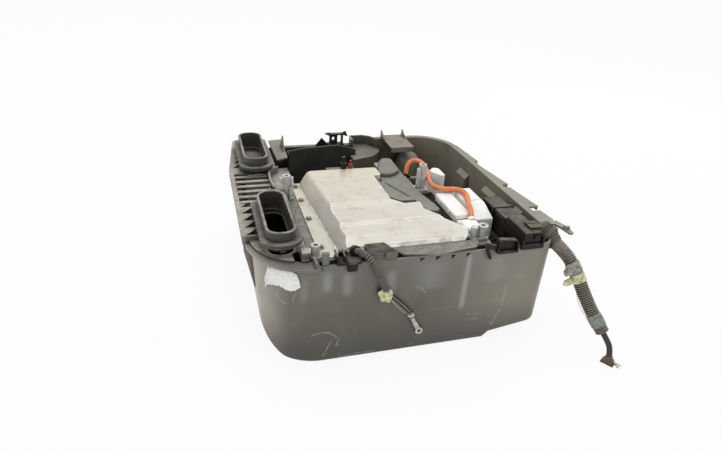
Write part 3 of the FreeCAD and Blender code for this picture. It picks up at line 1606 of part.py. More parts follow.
def build():
    """Every piece of the battery by its node name."""
    nodes = {
        "tub": tub(),
        "duct_deck": duct_deck(),
        "front_duct_collar": duct_collar(front_collar_x, front_collar_y),
        "rear_duct_collar": duct_collar(rear_collar_x, rear_collar_y),
        "front_air_duct": air_duct(front_collar_x, front_collar_y, tray_left),
        "rear_air_duct": rear_air_duct(),
        "exhaust_duct": exhaust_duct(),
        "rear_left_bracket": rear_left_bracket(),
        "battery_tray": battery_tray(),
        "battery_cover": battery_cover(),
        "end_plates": Part.makeCompound([end_plate(True), end_plate(False)]),
        "busbars": busbars(),
        "cell_monitor_board": cell_monitor_board(),
        "power_converter": power_converter(),
        "electronics_cover": electronics_cover(),
        "electronics_lid": electronics_lid(),
        "rear_left_post": post(rear_left_post, rear_left_lobes, (1.7, 13, -14, 9), post_bore_r + post_wall),
        "rear_right_post": post(
            rear_right_post, rear_right_lobes, (-13, 12, -13, 12), post_bore_r + post_wall),
        "front_left_post": post(front_left_post, front_left_lobes, (-8, 7, -10, 22), eye_post_r),
        "front_right_post": post(front_right_post, front_right_lobes, (-24, 9, -10, 10), column_r),
        "cover_screws": cover_screws(),
        "side_bracket": side_bracket(),
        "relay_box": relay_box(),
        "fuse_box": fuse_box(),
        "fuse_box_lid": fuse_box_lid(),
        "junction_box": junction_box(),
        "service_cap": service_cap(),
        "hv_socket": hv_socket(),
        "hv_plug": hv_plug(),
        "hv_cable": cord_tube(hv_route, hv_r, "hv_cable"),
        "control_box": control_box(),
        "control_box_clips": control_box_clips(),
        "connector_block": connector_block(),
        "sense_connector": sense_connector(),
        "black_plug": black_plug(),
        "red_plug": red_plug(),
        "cable_grommet": cable_grommet(),
        "corner_hook": corner_hook(),
        "harness_conduit": cord_tube(harness_route, harness_r, "harness_conduit"),
        "harness_tapes": harness_tapes(),
        "harness_yellow_tape": tape_on(harness_route, harness_r, *tape_spans[1]),
        "harness_tail": cord_tube(tail_route, tail_r, "harness_tail"),
        "torn_boot": torn_boot(),
        "frayed_strands": frayed_strands(),
        "earth_conduit": cord_tube(earth_route, earth_r, "earth_conduit"),
        "earth_tape": earth_tape(),
        "earth_wire": cord_tube(earth_wire_route, earth_wire_r, "earth_wire"),
        "ring_terminal": ring_terminal(),
        "earth_clip": earth_clip(),
        "front_bridge": front_bridge(),
        "rim_pocket": rim_pocket(),
        "rear_bracket": rear_bracket(),
        "rear_clip": rear_clip(),
        "torn_label": torn_label(),
    }
    for index in range(module_count):
        nodes["cell_module_" + str(index + 1)] = cell_module(index)
    return nodes


if __name__ == "__main__":
    os.makedirs("parts", exist_ok=True)
    for name, shape in build().items():
        shape.exportStep("parts/" + name + ".step")
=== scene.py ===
import math

import bpy
import numpy as np
from mathutils import Matrix, Vector


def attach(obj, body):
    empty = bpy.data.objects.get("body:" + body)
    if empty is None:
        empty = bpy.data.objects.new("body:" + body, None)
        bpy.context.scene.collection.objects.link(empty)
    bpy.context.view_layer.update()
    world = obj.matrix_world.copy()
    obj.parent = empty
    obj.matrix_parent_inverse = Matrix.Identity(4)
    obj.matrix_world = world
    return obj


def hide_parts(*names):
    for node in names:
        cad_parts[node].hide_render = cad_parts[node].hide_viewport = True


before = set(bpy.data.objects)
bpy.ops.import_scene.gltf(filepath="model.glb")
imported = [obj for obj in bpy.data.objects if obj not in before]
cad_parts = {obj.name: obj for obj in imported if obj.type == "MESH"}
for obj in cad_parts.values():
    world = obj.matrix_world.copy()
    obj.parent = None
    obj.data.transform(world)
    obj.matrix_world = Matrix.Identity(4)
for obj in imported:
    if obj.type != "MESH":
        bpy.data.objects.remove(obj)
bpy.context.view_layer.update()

bl_info = {
    "name": "Hybrid Car Battery",
    "version": (1, 0, 0),
    "blender": (4, 5, 0),
    "location": "View3D > Sidebar > Battery",
    "description": "Surfaces, cables and finishes of a hybrid car battery in its moulded tub",
    "category": "Object",
}

# Cable routes, metres: control points of each cable's line, the same as those of its solid
HARNESS_ROUTE = (
    (0.273, -0.243, 0.182), (0.2855, -0.2645, 0.171), (0.297, -0.283, 0.146), (0.3085, -0.302, 0.113),
    (0.3215, -0.323, 0.080), (0.335, -0.346, 0.053))
TAIL_ROUTE = (
    (0.335, -0.346, 0.053), (0.341, -0.3562, 0.041), (0.345, -0.3635, 0.029), (0.344, -0.368, 0.0155))
EARTH_ROUTE = (
    (-0.097, -0.240, 0.206), (-0.0925, -0.252, 0.2105), (-0.0875, -0.2655, 0.2115), (-0.0815, -0.272, 0.204),
    (-0.074, -0.274, 0.189), (-0.0655, -0.272, 0.1705), (-0.0575, -0.2698, 0.154), (-0.0506, -0.2676, 0.1402))
EARTH_WIRE_ROUTE = (
    (-0.0506, -0.2676, 0.1402), (-0.0463, -0.2662, 0.1317), (-0.038, -0.2643, 0.124),
    (-0.028, -0.2636, 0.116), (-0.0145, -0.263, 0.1025), (-0.004, -0.263, 0.087), (0.002, -0.263, 0.0755))
HIGH_VOLTAGE_ROUTE = (
    (0.096, 0.059, 0.198), (0.0975, 0.063, 0.209), (0.103, 0.0665, 0.2195), (0.1125, 0.0645, 0.2265),
    (0.121, 0.055, 0.228), (0.1265, 0.0425, 0.225), (0.128, 0.028, 0.2195), (0.1245, 0.010, 0.2145),
    (0.1185, -0.012, 0.2115), (0.1175, -0.032, 0.2115), (0.123, -0.048, 0.212), (0.136, -0.0565, 0.212),
    (0.150, -0.057, 0.212), (0.161, -0.0615, 0.212), (0.1675, -0.0715, 0.212), (0.168, -0.084, 0.212),
    (0.1635, -0.099, 0.212), (0.1555, -0.117, 0.212), (0.150, -0.134, 0.213), (0.1465, -0.149, 0.211),
    (0.143, -0.1615, 0.203))

# Fixed directions that keep the conduits' rings from turning: each ring starts square to its direction
HARNESS_SIDE = (0.0, 0.0, 1.0)
EARTH_SIDE = (1.0, 0.0, 0.0)

# Bare strands, metres: beside the earth lead, and one beside the harness
LEAD_STRANDS = (
    ((-0.0450, -0.2668, 0.1270), (-0.0310, -0.2672, 0.1040), (-0.0060, -0.2660, 0.0830)),
    ((-0.0430, -0.2668, 0.1240), (-0.0240, -0.2675, 0.1030), (-0.0030, -0.2660, 0.0830)),
    ((-0.0400, -0.2668, 0.1290), (-0.0200, -0.2672, 0.1100), (0.0020, -0.2660, 0.0840)))
STRAY_STRAND = ((0.3010, -0.2950, 0.1080), (0.3030, -0.3020, 0.0860), (0.3240, -0.3120, 0.0600))

# Fan of strands at the torn boot's mouth: its start in metres, its heading and half its width in degrees
BOOT_MOUTH = (0.3488, -0.3757, 0.0050)
FAN_HEADING = -70.0
FAN_HALF_WIDTH = 26.0
FAN_STRANDS = 12

# How far the tops of the lumps lean to the left, degrees
LUMP_LEAN = 24.0

# Torn label round the tub's front left corner: height in metres over the angle round the corner in degrees
LABEL_TOP = (
    (30.4, 0.1410), (34.0, 0.1490), (34.8, 0.1620), (37.5, 0.1760), (39.1, 0.1885), (47.0, 0.1895),
    (59.0, 0.1890), (65.0, 0.1880), (69.5, 0.1820), (71.0, 0.1720), (71.8, 0.1600))
LABEL_BOTTOM = (
    (30.4, 0.1394), (36.0, 0.1480), (42.2, 0.1516), (49.9, 0.1546), (56.7, 0.1503), (61.7, 0.1492),
    (66.7, 0.1522), (71.8, 0.1577))

# The tub's front left corner, metres: the left wall at the rim, how far it leans in over the tub's height,
# and the corner's arc, by its radius and its middle along Y
WALL_AT_RIM = -0.257
WALL_LEAN = 0.014
TUB_HEIGHT = 0.216
CORNER_RADIUS = 0.092
CORNER_MIDDLE_Y = -0.167

# The label's paper and how far it stays off the wall, metres
LABEL_THICKNESS = 0.0003
LABEL_GAP = 0.0006

# Painted highlights: soft pale sheen streaks on the front wall: middle and half width across, bottom and top
# in metres, strength
FRONT_SHEEN_BANDS = (
    (-0.1850, 0.010, 0.120, 0.180, 0.30),
    (-0.1480, 0.013, 0.138, 0.190, 0.55),
    (-0.1150, 0.014, 0.128, 0.186, 0.50),
    (-0.0410, 0.015, 0.122, 0.180, 0.55),
    (0.0300, 0.045, 0.120, 0.192, 0.30),
    (0.0960, 0.009, 0.070, 0.196, 0.80),
    (0.1500, 0.034, 0.120, 0.190, 0.30),
    (0.1785, 0.005, 0.066, 0.124, 0.45))

# Height over which a painted sheen streak fades in at its bottom and out at its top, metres
BAND_FADE = 0.018

# Scratches in the front wall: half width, then the ends of their straight pieces, across and up in metres
FRONT_SCRATCHES = (
    (0.0008, (-0.2247, 0.1364), (-0.2230, 0.1290), (-0.2185, 0.1232), (-0.2111, 0.1197)),
    (0.0007, (-0.1960, 0.1480), (-0.1989, 0.1393), (-0.2020, 0.1291)),
    (0.0009, (-0.1715, 0.0593), (-0.1637, 0.0633), (-0.1531, 0.0652), (-0.1422, 0.0625), (-0.1338, 0.0568),
     (-0.1252, 0.0476), (-0.1288, 0.0325)),
    (0.0008, (-0.1388, 0.0431), (-0.1453, 0.0286), (-0.1511, 0.0138)),
    (0.0006, (0.0041, 0.1353), (0.0141, 0.1324), (0.0237, 0.1224)),
    (0.0010, (0.1773, 0.0636), (0.1703, 0.0477), (0.1654, 0.0293), (0.1600, 0.0390)),
    (0.0007, (0.1080, 0.0613), (0.1245, 0.0605), (0.1393, 0.0610)),
    (0.0007, (0.1103, 0.0479), (0.1164, 0.0506), (0.1317, 0.0482)),
    (0.0010, (0.1997, 0.1323), (0.2091, 0.1311)),
    (0.0008, (-0.1221, 0.0064), (-0.0900, 0.0100), (-0.0600, 0.0085)))

# The photograph's camera: place in metres, angles in degrees, lens in millimetres
CAMERA_PLACE = (-0.3233, -0.9580, 0.6631)
CAMERA_HEADING = 17.79
CAMERA_DIP = 28.62
CAMERA_ROLL = 3.83
CAMERA_LENS = 27.58

# Floor: half its side in metres, and the share of plain white that it shows the camera
FLOOR_HALF = 20.0
FLOOR_GLOW = 0.90

# Studio: strength of the world's light on the object, and soft lamps by name, place, aim and size in metres
# and power in watts
WORLD_LIGHT = 0.78
LAMPS = (
    ("lamp_above", (-0.3, 0.3, 2.2), (0.0, 0.0, 0.2), 2.4, 13.0),
    ("lamp_back_right", (1.8, 1.2, 1.3), (0.1, 0.0, 0.15), 1.4, 6.0))

# A pattern that is equally dense along all three axes
EVEN = (1.0, 1.0, 1.0)

# Index of refraction of the moulded plastics and of the conduits' polyethylene
PLASTIC_IOR = 1.49
POLYETHYLENE_IOR = 1.50


def linear(hex_colour):
    """Linear red, green and blue of an sRGB hex colour."""
    code = hex_colour.lstrip("#")
    values = [int(code[i:i + 2], 16) / 255 for i in (0, 2, 4)]
    return tuple(v / 12.92 if v <= 0.04045 else ((v + 0.055) / 1.055) ** 2.4 for v in values)


def rgba(colour):
    """Four numbers for a colour socket, from a hex string or a colour property."""
    if isinstance(colour, str):
        colour = linear(colour)
    return (*tuple(colour)[:3], 1.0)


def add(tree, kind, inputs=None, **settings):
    """Adds one shader node, with its properties, and sets or links its inputs: a node by its first output."""
    node = tree.nodes.new("ShaderNode" + kind)
    for key, value in settings.items():
        setattr(node, key, value)
    for key, value in (inputs or {}).items():
        if isinstance(value, bpy.types.Node):
            value = value.outputs[0]
        if isinstance(value, bpy.types.NodeSocket):
            tree.links.new(value, node.inputs[key])
        else:
            node.inputs[key].default_value = value
    return node


def new_material(name):
    """Empty node material: the material, its tree and the surface's place in the object's metres."""
    material = bpy.data.materials.new(name)
    material.use_nodes = True
    tree = material.node_tree
    tree.nodes.clear()
    return material, tree, add(tree, "TexCoord").outputs["Object"]


def finish_material(tree, inputs, ior=None):
    """Principled surface from its inputs, linked to the material's output. A metal keeps the default IOR."""
    shader = add(tree, "BsdfPrincipled", inputs)
    if ior is not None:
        shader.inputs["IOR"].default_value = ior
    add(tree, "OutputMaterial", {"Surface": shader})


def blotches(tree, place, size_mm, low, high, strength=1.0, density=EVEN, detail=5.0):
    """Patches of a real size: noise cut off between two levels, denser along an axis if asked."""
    dense = add(tree, "Mapping", {"Vector": place, "Scale": density})
    grain = add(tree, "TexNoise", {
        "Vector": dense, "Scale": 1000.0 / size_mm, "Detail": detail, "Roughness": 0.6}).outputs["Fac"]
    return add(tree, "MapRange", {"Value": grain, "From Min": low, "From Max": high, "To Max": strength})


def layered(tree, base, *layers):
    """Colour in layers: each mask lays its own colour over those below."""
    colour = rgba(base)
    for mask, over in layers:
        colour = add(tree, "Mix", {0: mask, 6: colour, 7: rgba(over)}, data_type="RGBA").outputs[2]
    return colour


def relief(tree, place, under, *layers):
    """Relief in layers over a surface: grain size and height in millimetres, strength and density."""
    surface = under
    for size_mm, height_mm, strength, density in layers:
        height = blotches(tree, place, size_mm, 0.0, 1.0, density=density, detail=3.0)
        surface = add(tree, "Bump", {
            "Height": height, "Distance": height_mm / 1000.0, "Strength": strength, "Normal": surface})
    return surface


def worn_edges(tree, place, rounded, strength, full_at=0.93):
    """Pale edges in patches, wear on most parts and a painted highlight on the metal: the rounded normal
    leaves the true one, and their product falls to full_at.
    """
    true_normal = add(tree, "NewGeometry").outputs["Normal"]
    together = add(tree, "VectorMath", {0: rounded, 1: true_normal}, operation="DOT_PRODUCT").outputs["Value"]
    edge = add(tree, "MapRange", {
        "Value": together, "From Min": 0.998, "From Max": full_at, "To Max": strength})
    patches = blotches(tree, place, 14.0, 0.35, 0.60)
    return add(tree, "Math", {0: edge, 1: patches}, operation="MULTIPLY")


def crevices(tree, reach_mm, strength, clear_share=0.92, full_share=0.40):
    """Painted shade where other faces are within reach: from the open share to the most closed one."""
    clear = add(tree, "AmbientOcclusion", {"Distance": reach_mm / 1000.0}, samples=6).outputs["AO"]
    return add(tree, "MapRange", {
        "Value": clear, "From Min": clear_share, "From Max": full_share, "To Max": strength})


def settled_dust(tree, place, strength):
    """Dust on the faces that look up, thinner in patches."""
    normal = add(tree, "NewGeometry").outputs["Normal"]
    height = add(tree, "SeparateXYZ", {0: normal}).outputs["Z"]
    upward = add(tree, "MapRange", {"Value": height, "From Min": 0.35, "From Max": 0.95, "To Max": strength})
    patches = blotches(tree, place, 18.0, 0.28, 0.62)
    return add(tree, "Math", {0: upward, 1: patches}, operation="MULTIPLY")


def moulded_plastic(name, base, rubbed, dust, dust_strength=0.5, roughness=0.5, round_mm=1.0,
                    shade_reach_mm=7.0, shine=0.5):
    """Injection-moulded plastic: rounded edges rubbed pale, spark grain, handling marks, settled dust and
    near-black painted shade where other faces are close.
    """
    material, tree, place = new_material(name)
    rounded = add(tree, "Bevel", {"Radius": round_mm / 1000.0}, samples=4)
    film = settled_dust(tree, place, dust_strength)
    colour = layered(
        tree, base,
        (blotches(tree, place, 60.0, 0.40, 0.66), rubbed),
        (blotches(tree, place, 9.0, 0.60, 0.72, 0.30, (1.0, 1.0, 3.0)), dust),
        (worn_edges(tree, place, rounded, 0.65), dust),
        (film, dust),
        # Painted shade: near black where other faces are close
        (crevices(tree, shade_reach_mm, 0.85), "#0d0c0c"))
    rough = add(tree, "MapRange", {"Value": film, "To Min": roughness, "To Max": min(1.0, roughness + 0.4)})
    surface = relief(tree, place, rounded, (0.9, 0.05, 0.5, EVEN), (30.0, 0.6, 0.25, EVEN))
    finish_material(tree, {
        "Base Color": colour, "Roughness": rough, "Normal": surface,
        "Specular IOR Level": shine}, PLASTIC_IOR)
    return material


def front_bands(tree, x, z):
    """Painted sheen highlights: soft upright streaks, brightest at their middles: the strongest of them at
    each place.
    """
    total = None
    for middle, half, low, high, strength in FRONT_SHEEN_BANDS:
        away = add(tree, "Math", {0: x, 1: middle}, operation="SUBTRACT")
        away = add(tree, "Math", {0: away}, operation="ABSOLUTE")
        mask = add(tree, "MapRange", {
            "Value": away, "From Min": half, "From Max": 0.0, "To Max": strength},
            interpolation_type="SMOOTHSTEP")
        for edge, inside in ((low, low + BAND_FADE), (high, high - BAND_FADE)):
            inner = add(tree, "MapRange", {
                "Value": z, "From Min": edge, "From Max": inside}, interpolation_type="SMOOTHSTEP")
            mask = add(tree, "Math", {0: mask, 1: inner}, operation="MULTIPLY")
        if total is not None:
            mask = add(tree, "Math", {0: total, 1: mask}, operation="MAXIMUM")
        total = mask
    return total


def front_scratches(tree, x, z, shake):
    """Scratches: the distance from each place, shaken by noise, to the nearest straight piece."""
    flat = add(tree, "CombineXYZ", {"X": x, "Z": z})
    flat = add(tree, "VectorMath", {0: flat, 1: shake}, operation="ADD")
    total = None
    for half, *ends in FRONT_SCRATCHES:
        for (x0, z0), (x1, z1) in zip(ends[:-1], ends[1:]):
            along = Vector((x1 - x0, 0.0, z1 - z0))
            from_start = add(tree, "VectorMath", {0: flat, 1: (x0, 0.0, z0)}, operation="SUBTRACT")
            per_length = tuple(along / along.length_squared)
            share = add(tree, "VectorMath", {
                0: from_start, 1: per_length}, operation="DOT_PRODUCT").outputs["Value"]
            # Clamped, so that the foot stays between the two ends
            share = add(tree, "Math", {0: share, 1: 1.0}, operation="MULTIPLY", use_clamp=True)
            foot = add(tree, "VectorMath", {0: tuple(along), "Scale": share}, operation="SCALE")
            away = add(tree, "VectorMath", {0: from_start, 1: foot}, operation="DISTANCE").outputs["Value"]
            line = add(tree, "MapRange", {"Value": away, "From Min": half * 2.0, "From Max": half * 0.3})
            if total is not None:
                line = add(tree, "Math", {0: total, 1: line}, operation="MAXIMUM")
            total = line
    return total


def tub_plastic(look):
    """Moulded polypropylene of the tub: slight waves, painted sheen highlights, painted light and shade by
    side and height, scuffs, scratches and dusty rims.
    """
    material, tree, place = new_material("tub_moulded_polypropylene")
    split = add(tree, "SeparateXYZ", {0: place})
    x, y, z = split.outputs["X"], split.outputs["Y"], split.outputs["Z"]
    rounded = add(tree, "Bevel", {"Radius": 0.002}, samples=4)
    # Regions along an axis, by two places in metres and the strength at each: the front wall, its foot and
    # upper part (painted shade and painted light), both sides (painted light at the right, painted reflection
    # at the left), the rims that aren't wiped, and the shade, lighter at the open right side
    front, low, high, left, right, swept, open_side = (
        add(tree, "MapRange", {"Value": along, "From Min": a, "From Max": b, "To Min": at_a, "To Max": at_b})
        for along, a, b, at_a, at_b in (
            (y, -0.19, -0.22, 0.0, 1.0), (z, 0.085, 0.015, 0.0, 1.0), (z, 0.10, 0.19, 0.0, 0.40),
            (x, -0.205, -0.250, 0.0, 0.90), (x, 0.04, 0.20, 0.0, 0.55),
            (x, -0.12, 0.0, 0.15, 1.0), (x, 0.13, 0.23, 1.0, 0.45)))
    inside = add(tree, "Math", {0: 1.0, 1: front}, operation="SUBTRACT")
    high = add(tree, "Math", {0: high, 1: front}, operation="MULTIPLY")
    # Marks of the front wall: painted sheen highlights, and scratches that waver by 2 mm and break off in
    # places
    sheen_highlight = add(tree, "Math", {0: front_bands(tree, x, z), 1: front}, operation="MULTIPLY")
    shake = add(tree, "TexNoise", {"Vector": place, "Scale": 90.0, "Detail": 4.0}).outputs["Color"]
    shake = add(tree, "VectorMath", {0: shake, 1: (0.5, 0.5, 0.5)}, operation="SUBTRACT")
    shake = add(tree, "VectorMath", {0: shake, "Scale": 0.004}, operation="SCALE")
    marks = add(tree, "Math", {0: front_scratches(tree, x, z, shake), 1: front}, operation="MULTIPLY")
    marks = add(tree, "Math", {
        0: marks, 1: blotches(tree, place, 6.0, 0.28, 0.66, 0.70)}, operation="MULTIPLY")
    scuffs = blotches(tree, place, 13.0, 0.60, 0.72, 0.35, (0.6, 0.6, 1.3), 8.0)
    scuffs = add(tree, "Math", {0: scuffs, 1: low}, operation="MULTIPLY")
    # Painted shade at the front wall's foot
    foot = add(tree, "Math", {0: low, 1: 0.80}, operation="MULTIPLY")
    # Dust on the rims, wiped off at the left, and soil and deep shade inside
    film = settled_dust(tree, place, 0.55)
    film = add(tree, "Math", {0: film, 1: swept}, operation="MULTIPLY")
    soil = add(tree, "Math", {
        0: inside, 1: blotches(tree, place, 42.0, 0.48, 0.64, 0.5)}, operation="MULTIPLY")
    shade = add(tree, "Math", {0: inside, 1: crevices(tree, 110.0, 0.80, 0.85, 0.35)}, operation="MULTIPLY")
    shade = add(tree, "Math", {0: shade, 1: open_side}, operation="MULTIPLY")
    colour = layered(
        tree, look.tub_colour,
        (blotches(tree, place, 120.0, 0.38, 0.64, 0.7, detail=3.0), "#6b675d"),
        # Painted light: the right side and the inside of the right wall painted lighter
        (right, "#a09b8a"),
        # Painted reflection: the left corner painted pale
        (left, "#b3ac9f"),
        (soil, "#75695c"),
        (shade, "#22211e"),
        # Painted light: the front wall's upper part painted lighter
        (high, "#85837f"),
        (blotches(tree, place, 34.0, 0.50, 0.72, 0.25, (1.0, 1.0, 0.3)), "#7f7d75"),
        # Painted shade: the front wall's foot painted darker
        (foot, "#42403b"),
        # Painted highlights: pale sheen streaks on the front wall
        (sheen_highlight, "#a0a09d"),
        (scuffs, "#a3a198"),
        (marks, "#bab8ae"),
        (worn_edges(tree, place, rounded, 0.65), "#a39e93"),
        (film, "#8f8b7f"),
        # Painted shade: near black where other faces are close
        (crevices(tree, 9.0, 0.7), "#1d1b19"))
    waves = relief(tree, place, rounded, (110.0, 6.0, 0.30, (1.0, 1.0, 0.45)), (1.1, 0.05, 0.4, EVEN))
    rough = add(tree, "Math", {0: film, 1: scuffs}, operation="ADD")
    rough = add(tree, "MapRange", {"Value": rough, "To Min": 0.36, "To Max": 0.78})
    finish_material(tree, {"Base Color": colour, "Roughness": rough, "Normal": waves}, PLASTIC_IOR)
    return material


def stamped_aluminium(look):
    """Stamped aluminium sheet of the cover: dull and stained, with painted highlights on the folds, painted
    shade at the steps and on faces leaning left, dents and rolling lines.
    """
    material, tree, place = new_material("cover_stamped_aluminium")
    rounded = add(tree, "Bevel", {"Radius": 0.003}, samples=6)
    stain = blotches(tree, place, 60.0, 0.42, 0.62, detail=6.0)
    # Painted shade: the faces that lean to the left are painted greyer in front; the back is yellowed
    depth = add(tree, "SeparateXYZ", {0: place}).outputs["Y"]
    front = add(tree, "MapRange", {"Value": depth, "From Min": 0.0, "From Max": -0.06})
    back = add(tree, "MapRange", {"Value": depth, "From Min": -0.09, "From Max": 0.10, "To Max": 0.6})
    normal = add(tree, "NewGeometry").outputs["Normal"]
    lean = add(tree, "SeparateXYZ", {0: normal}).outputs["X"]
    lean = add(tree, "MapRange", {"Value": lean, "From Min": -0.35, "From Max": -0.62, "To Max": 0.70})
    lean = add(tree, "Math", {0: lean, 1: front}, operation="MULTIPLY")
    colour = layered(
        tree, look.cover_colour,
        (stain, "#d0ccc0"),
        (back, "#dccfb2"),
        (blotches(tree, place, 30.0, 0.54, 0.70, 0.45, detail=8.0), "#b3a488"),
        # Painted shade on the faces that lean to the left, in front
        (lean, "#b5b2a9"),
        (blotches(tree, place, 7.0, 0.60, 0.70, 0.30, detail=8.0), "#9c968a"),
        # Painted shade at the feet of the steps
        (crevices(tree, 9.0, 0.75, 0.98, 0.66), "#8d877a"),
        # Painted highlight: the folds' edges painted white
        (worn_edges(tree, place, rounded, 1.0, 0.993), "#ffffff"))
    surface = relief(
        tree, place, rounded,
        (48.0, 4.0, 0.60, EVEN), (16.0, 1.2, 0.50, (0.4, 1.0, 1.0)), (2.5, 0.06, 0.3, (0.04, 1.0, 1.0)))
    rough = add(tree, "MapRange", {"Value": stain, "To Min": 0.40, "To Max": 0.58})
    finish_material(tree, {"Base Color": colour, "Roughness": rough, "Normal": surface, "Metallic": 0.45})
    return material


def cast_aluminium(name, base, dark, metallic):
    """Die-cast aluminium: grey oxide skin, rounded edges worn pale and painted as highlights, painted shade
    where other faces are close, fine pitting and dull highlights.
    """
    material, tree, place = new_material(name)
    rounded = add(tree, "Bevel", {"Radius": 0.0012}, samples=4)
    skin = blotches(tree, place, 12.0, 0.40, 0.66, detail=6.0)
    colour = layered(
        tree, base,
        (skin, dark),
        # Pale edges: wear and a painted highlight
        (worn_edges(tree, place, rounded, 0.8), "#f0eee8"),
        # Painted shade where other faces are close
        (crevices(tree, 6.0, 0.7), "#3f3e3a"))
    surface = relief(tree, place, rounded, (1.6, 0.12, 0.6, EVEN))
    rough = add(tree, "MapRange", {"Value": skin, "To Min": 0.36, "To Max": 0.56})
    finish_material(tree, {"Base Color": colour, "Roughness": rough, "Normal": surface, "Metallic": metallic})
    return material


def small_part_finish(name, base, other, roughness, grain_mm, metallic=0.0, patch_mm=8.0, relief_mm=0.08):
    """Small moulded, drawn or coated part: two close colours in patches, soft edges, painted shade where
    other faces are close, and a fine relief.
    """
    material, tree, place = new_material(name)
    rounded = add(tree, "Bevel", {"Radius": 0.0008}, samples=4)
    patches = blotches(tree, place, patch_mm, 0.42, 0.64)
    surface = relief(tree, place, rounded, (grain_mm, relief_mm, 0.5, EVEN))
    rough = add(tree, "MapRange", {
        "Value": patches, "To Min": roughness, "To Max": min(1.0, roughness + 0.15)})
    # Two close colours in patches, and painted shade where other faces are close
    colour = layered(tree, base, (patches, other), (crevices(tree, 4.0, 0.5), "#4a443c"))
    finish_material(tree, {"Base Color": colour, "Roughness": rough, "Normal": surface, "Metallic": metallic})
    return material


def blown_conduit(name, ridge, groove, dust):
    """Blown polyethylene conduit: grooves darkened by painted shade, ridges rubbed pale, dust where it looks
    up.
    """
    material, tree, place = new_material(name)
    depth = add(tree, "Attribute", attribute_name="groove").outputs["Fac"]
    colour = layered(
        tree, ridge,
        (blotches(tree, place, 9.0, 0.40, 0.64, 0.5), dust),
        (settled_dust(tree, place, 0.55), dust),
        # Painted shade: the grooves painted dark
        (depth, groove))
    geometry = add(tree, "NewGeometry").outputs["Normal"]
    surface = relief(tree, place, geometry, (1.5, 0.08, 0.5, EVEN))
    finish_material(tree, {"Base Color": colour, "Roughness": 0.5, "Normal": surface}, POLYETHYLENE_IOR)
    return material


def woven_tape(name, base, dirt, roughness=0.85):
    """Wrapped tape: wavering threads, soiled in patches, wrinkled where it was pulled."""
    material, tree, place = new_material(name)
    geometry = add(tree, "NewGeometry").outputs["Normal"]
    # Threads are about 0.5 mm apart in cloth tape and are drawn 4 mm apart, so that they show
    weave = add(tree, "TexWave", {"Vector": place, "Scale": 80.0, "Distortion": 2.0}).outputs["Fac"]
    surface = add(tree, "Bump", {"Height": weave, "Distance": 0.0003, "Strength": 0.5, "Normal": geometry})
    surface = relief(tree, place, surface, (6.0, 1.6, 0.7, EVEN), (2.0, 0.4, 0.5, EVEN))
    colour = layered(
        tree, base,
        (blotches(tree, place, 7.0, 0.45, 0.62), dirt),
        (blotches(tree, place, 3.0, 0.55, 0.65, 0.5), dirt))
    finish_material(tree, {"Base Color": colour, "Roughness": roughness, "Normal": surface})
    return material


def crumpled_paper(name):
    """Torn coated paper: bright white, pale grey patches of painted crease shade, and a few dirty spots."""
    material, tree, place = new_material(name)
    geometry = add(tree, "NewGeometry").outputs["Normal"]
    folds = add(tree, "TexVoronoi", {
        "Vector": place, "Scale": 1000.0 / 8.0}, feature="DISTANCE_TO_EDGE").outputs["Distance"]
    fold = add(tree, "MapRange", {"Value": folds, "From Max": 0.25})
    surface = add(tree, "Bump", {"Height": fold, "Distance": 0.0008, "Strength": 0.5, "Normal": geometry})
    surface = relief(tree, place, surface, (1.5, 0.3, 0.6, EVEN))
    colour = layered(
        tree, "#ffffff",
        # Painted shade: pale grey patches for the creases
        (blotches(tree, place, 12.0, 0.60, 0.72, 0.25), "#d9d6cc"),
        (blotches(tree, place, 4.0, 0.66, 0.72, 0.5), "#8f8b7f"))
    finish_material(tree, {"Base Color": colour, "Roughness": 0.8, "Normal": surface})
    return material


def background_share(tree):
    """1 for the rays that look at the background: from the camera, and by way of gloss or glass."""
    seen = add(tree, "LightPath").outputs
    share = add(tree, "Math", {0: seen["Is Glossy Ray"], 1: seen["Is Transmission Ray"]}, operation="MAXIMUM")
    return add(tree, "Math", {0: share, 1: seen["Is Camera Ray"]}, operation="MAXIMUM")


def dress(names, material):
    """Gives CAD nodes their material."""
    for name in names:
        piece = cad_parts[name]
        piece.data.materials.clear()
        piece.data.materials.append(material)


def grid_mesh(name, points, tube=False, groove=None):
    """Mesh over a grid of points. A tube's rows are rings, joined round, with a fan of faces at both ends."""
    rows, columns = points.shape[:2]
    index = np.arange(rows * columns).reshape(rows, columns)
    if tube:
        index = np.hstack([index, index[:, :1]])
    quads = np.stack([index[:-1, :-1], index[:-1, 1:], index[1:, 1:], index[1:, :-1]], axis=-1)
    faces = quads.reshape(-1, 4).tolist()
    vertices = points.reshape(-1, 3)
    if tube:
        vertices = np.vstack([vertices, points[0].mean(axis=0), points[-1].mean(axis=0)])
        first_middle, last_middle = rows * columns, rows * columns + 1
        ring = np.arange(columns)
        after = np.roll(ring, -1)
        top = (rows - 1) * columns
        faces += np.stack([np.full(columns, first_middle), after, ring], axis=-1).tolist()
        faces += np.stack([np.full(columns, last_middle), top + ring, top + after], axis=-1).tolist()
    mesh = bpy.data.meshes.new(name)
    mesh.from_pydata(vertices.tolist(), [], faces)
    mesh.shade_smooth()
    if groove is not None:
        depth = np.zeros(len(vertices), dtype=np.float32)
        depth[:rows * columns] = np.repeat(groove, columns)
        mesh.attributes.new("groove", "FLOAT", "POINT").data.foreach_set("value", depth)
    return mesh


def show(name, data, material, stands_for=()):
    """Puts a mesh or curve in the scene as a piece of the battery."""
    piece = bpy.data.objects.new(name, data)
    bpy.context.scene.collection.objects.link(piece)
    data.materials.append(material)
    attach(piece, "root")
    if stands_for:
        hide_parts(*stands_for)
    return piece


def show_tube(name, grid, material, stands_for=(), groove=None):
    """Shows a tube or a lump, from its grid of points."""
    return show(name, grid_mesh(name, grid, True, groove), material, stands_for)


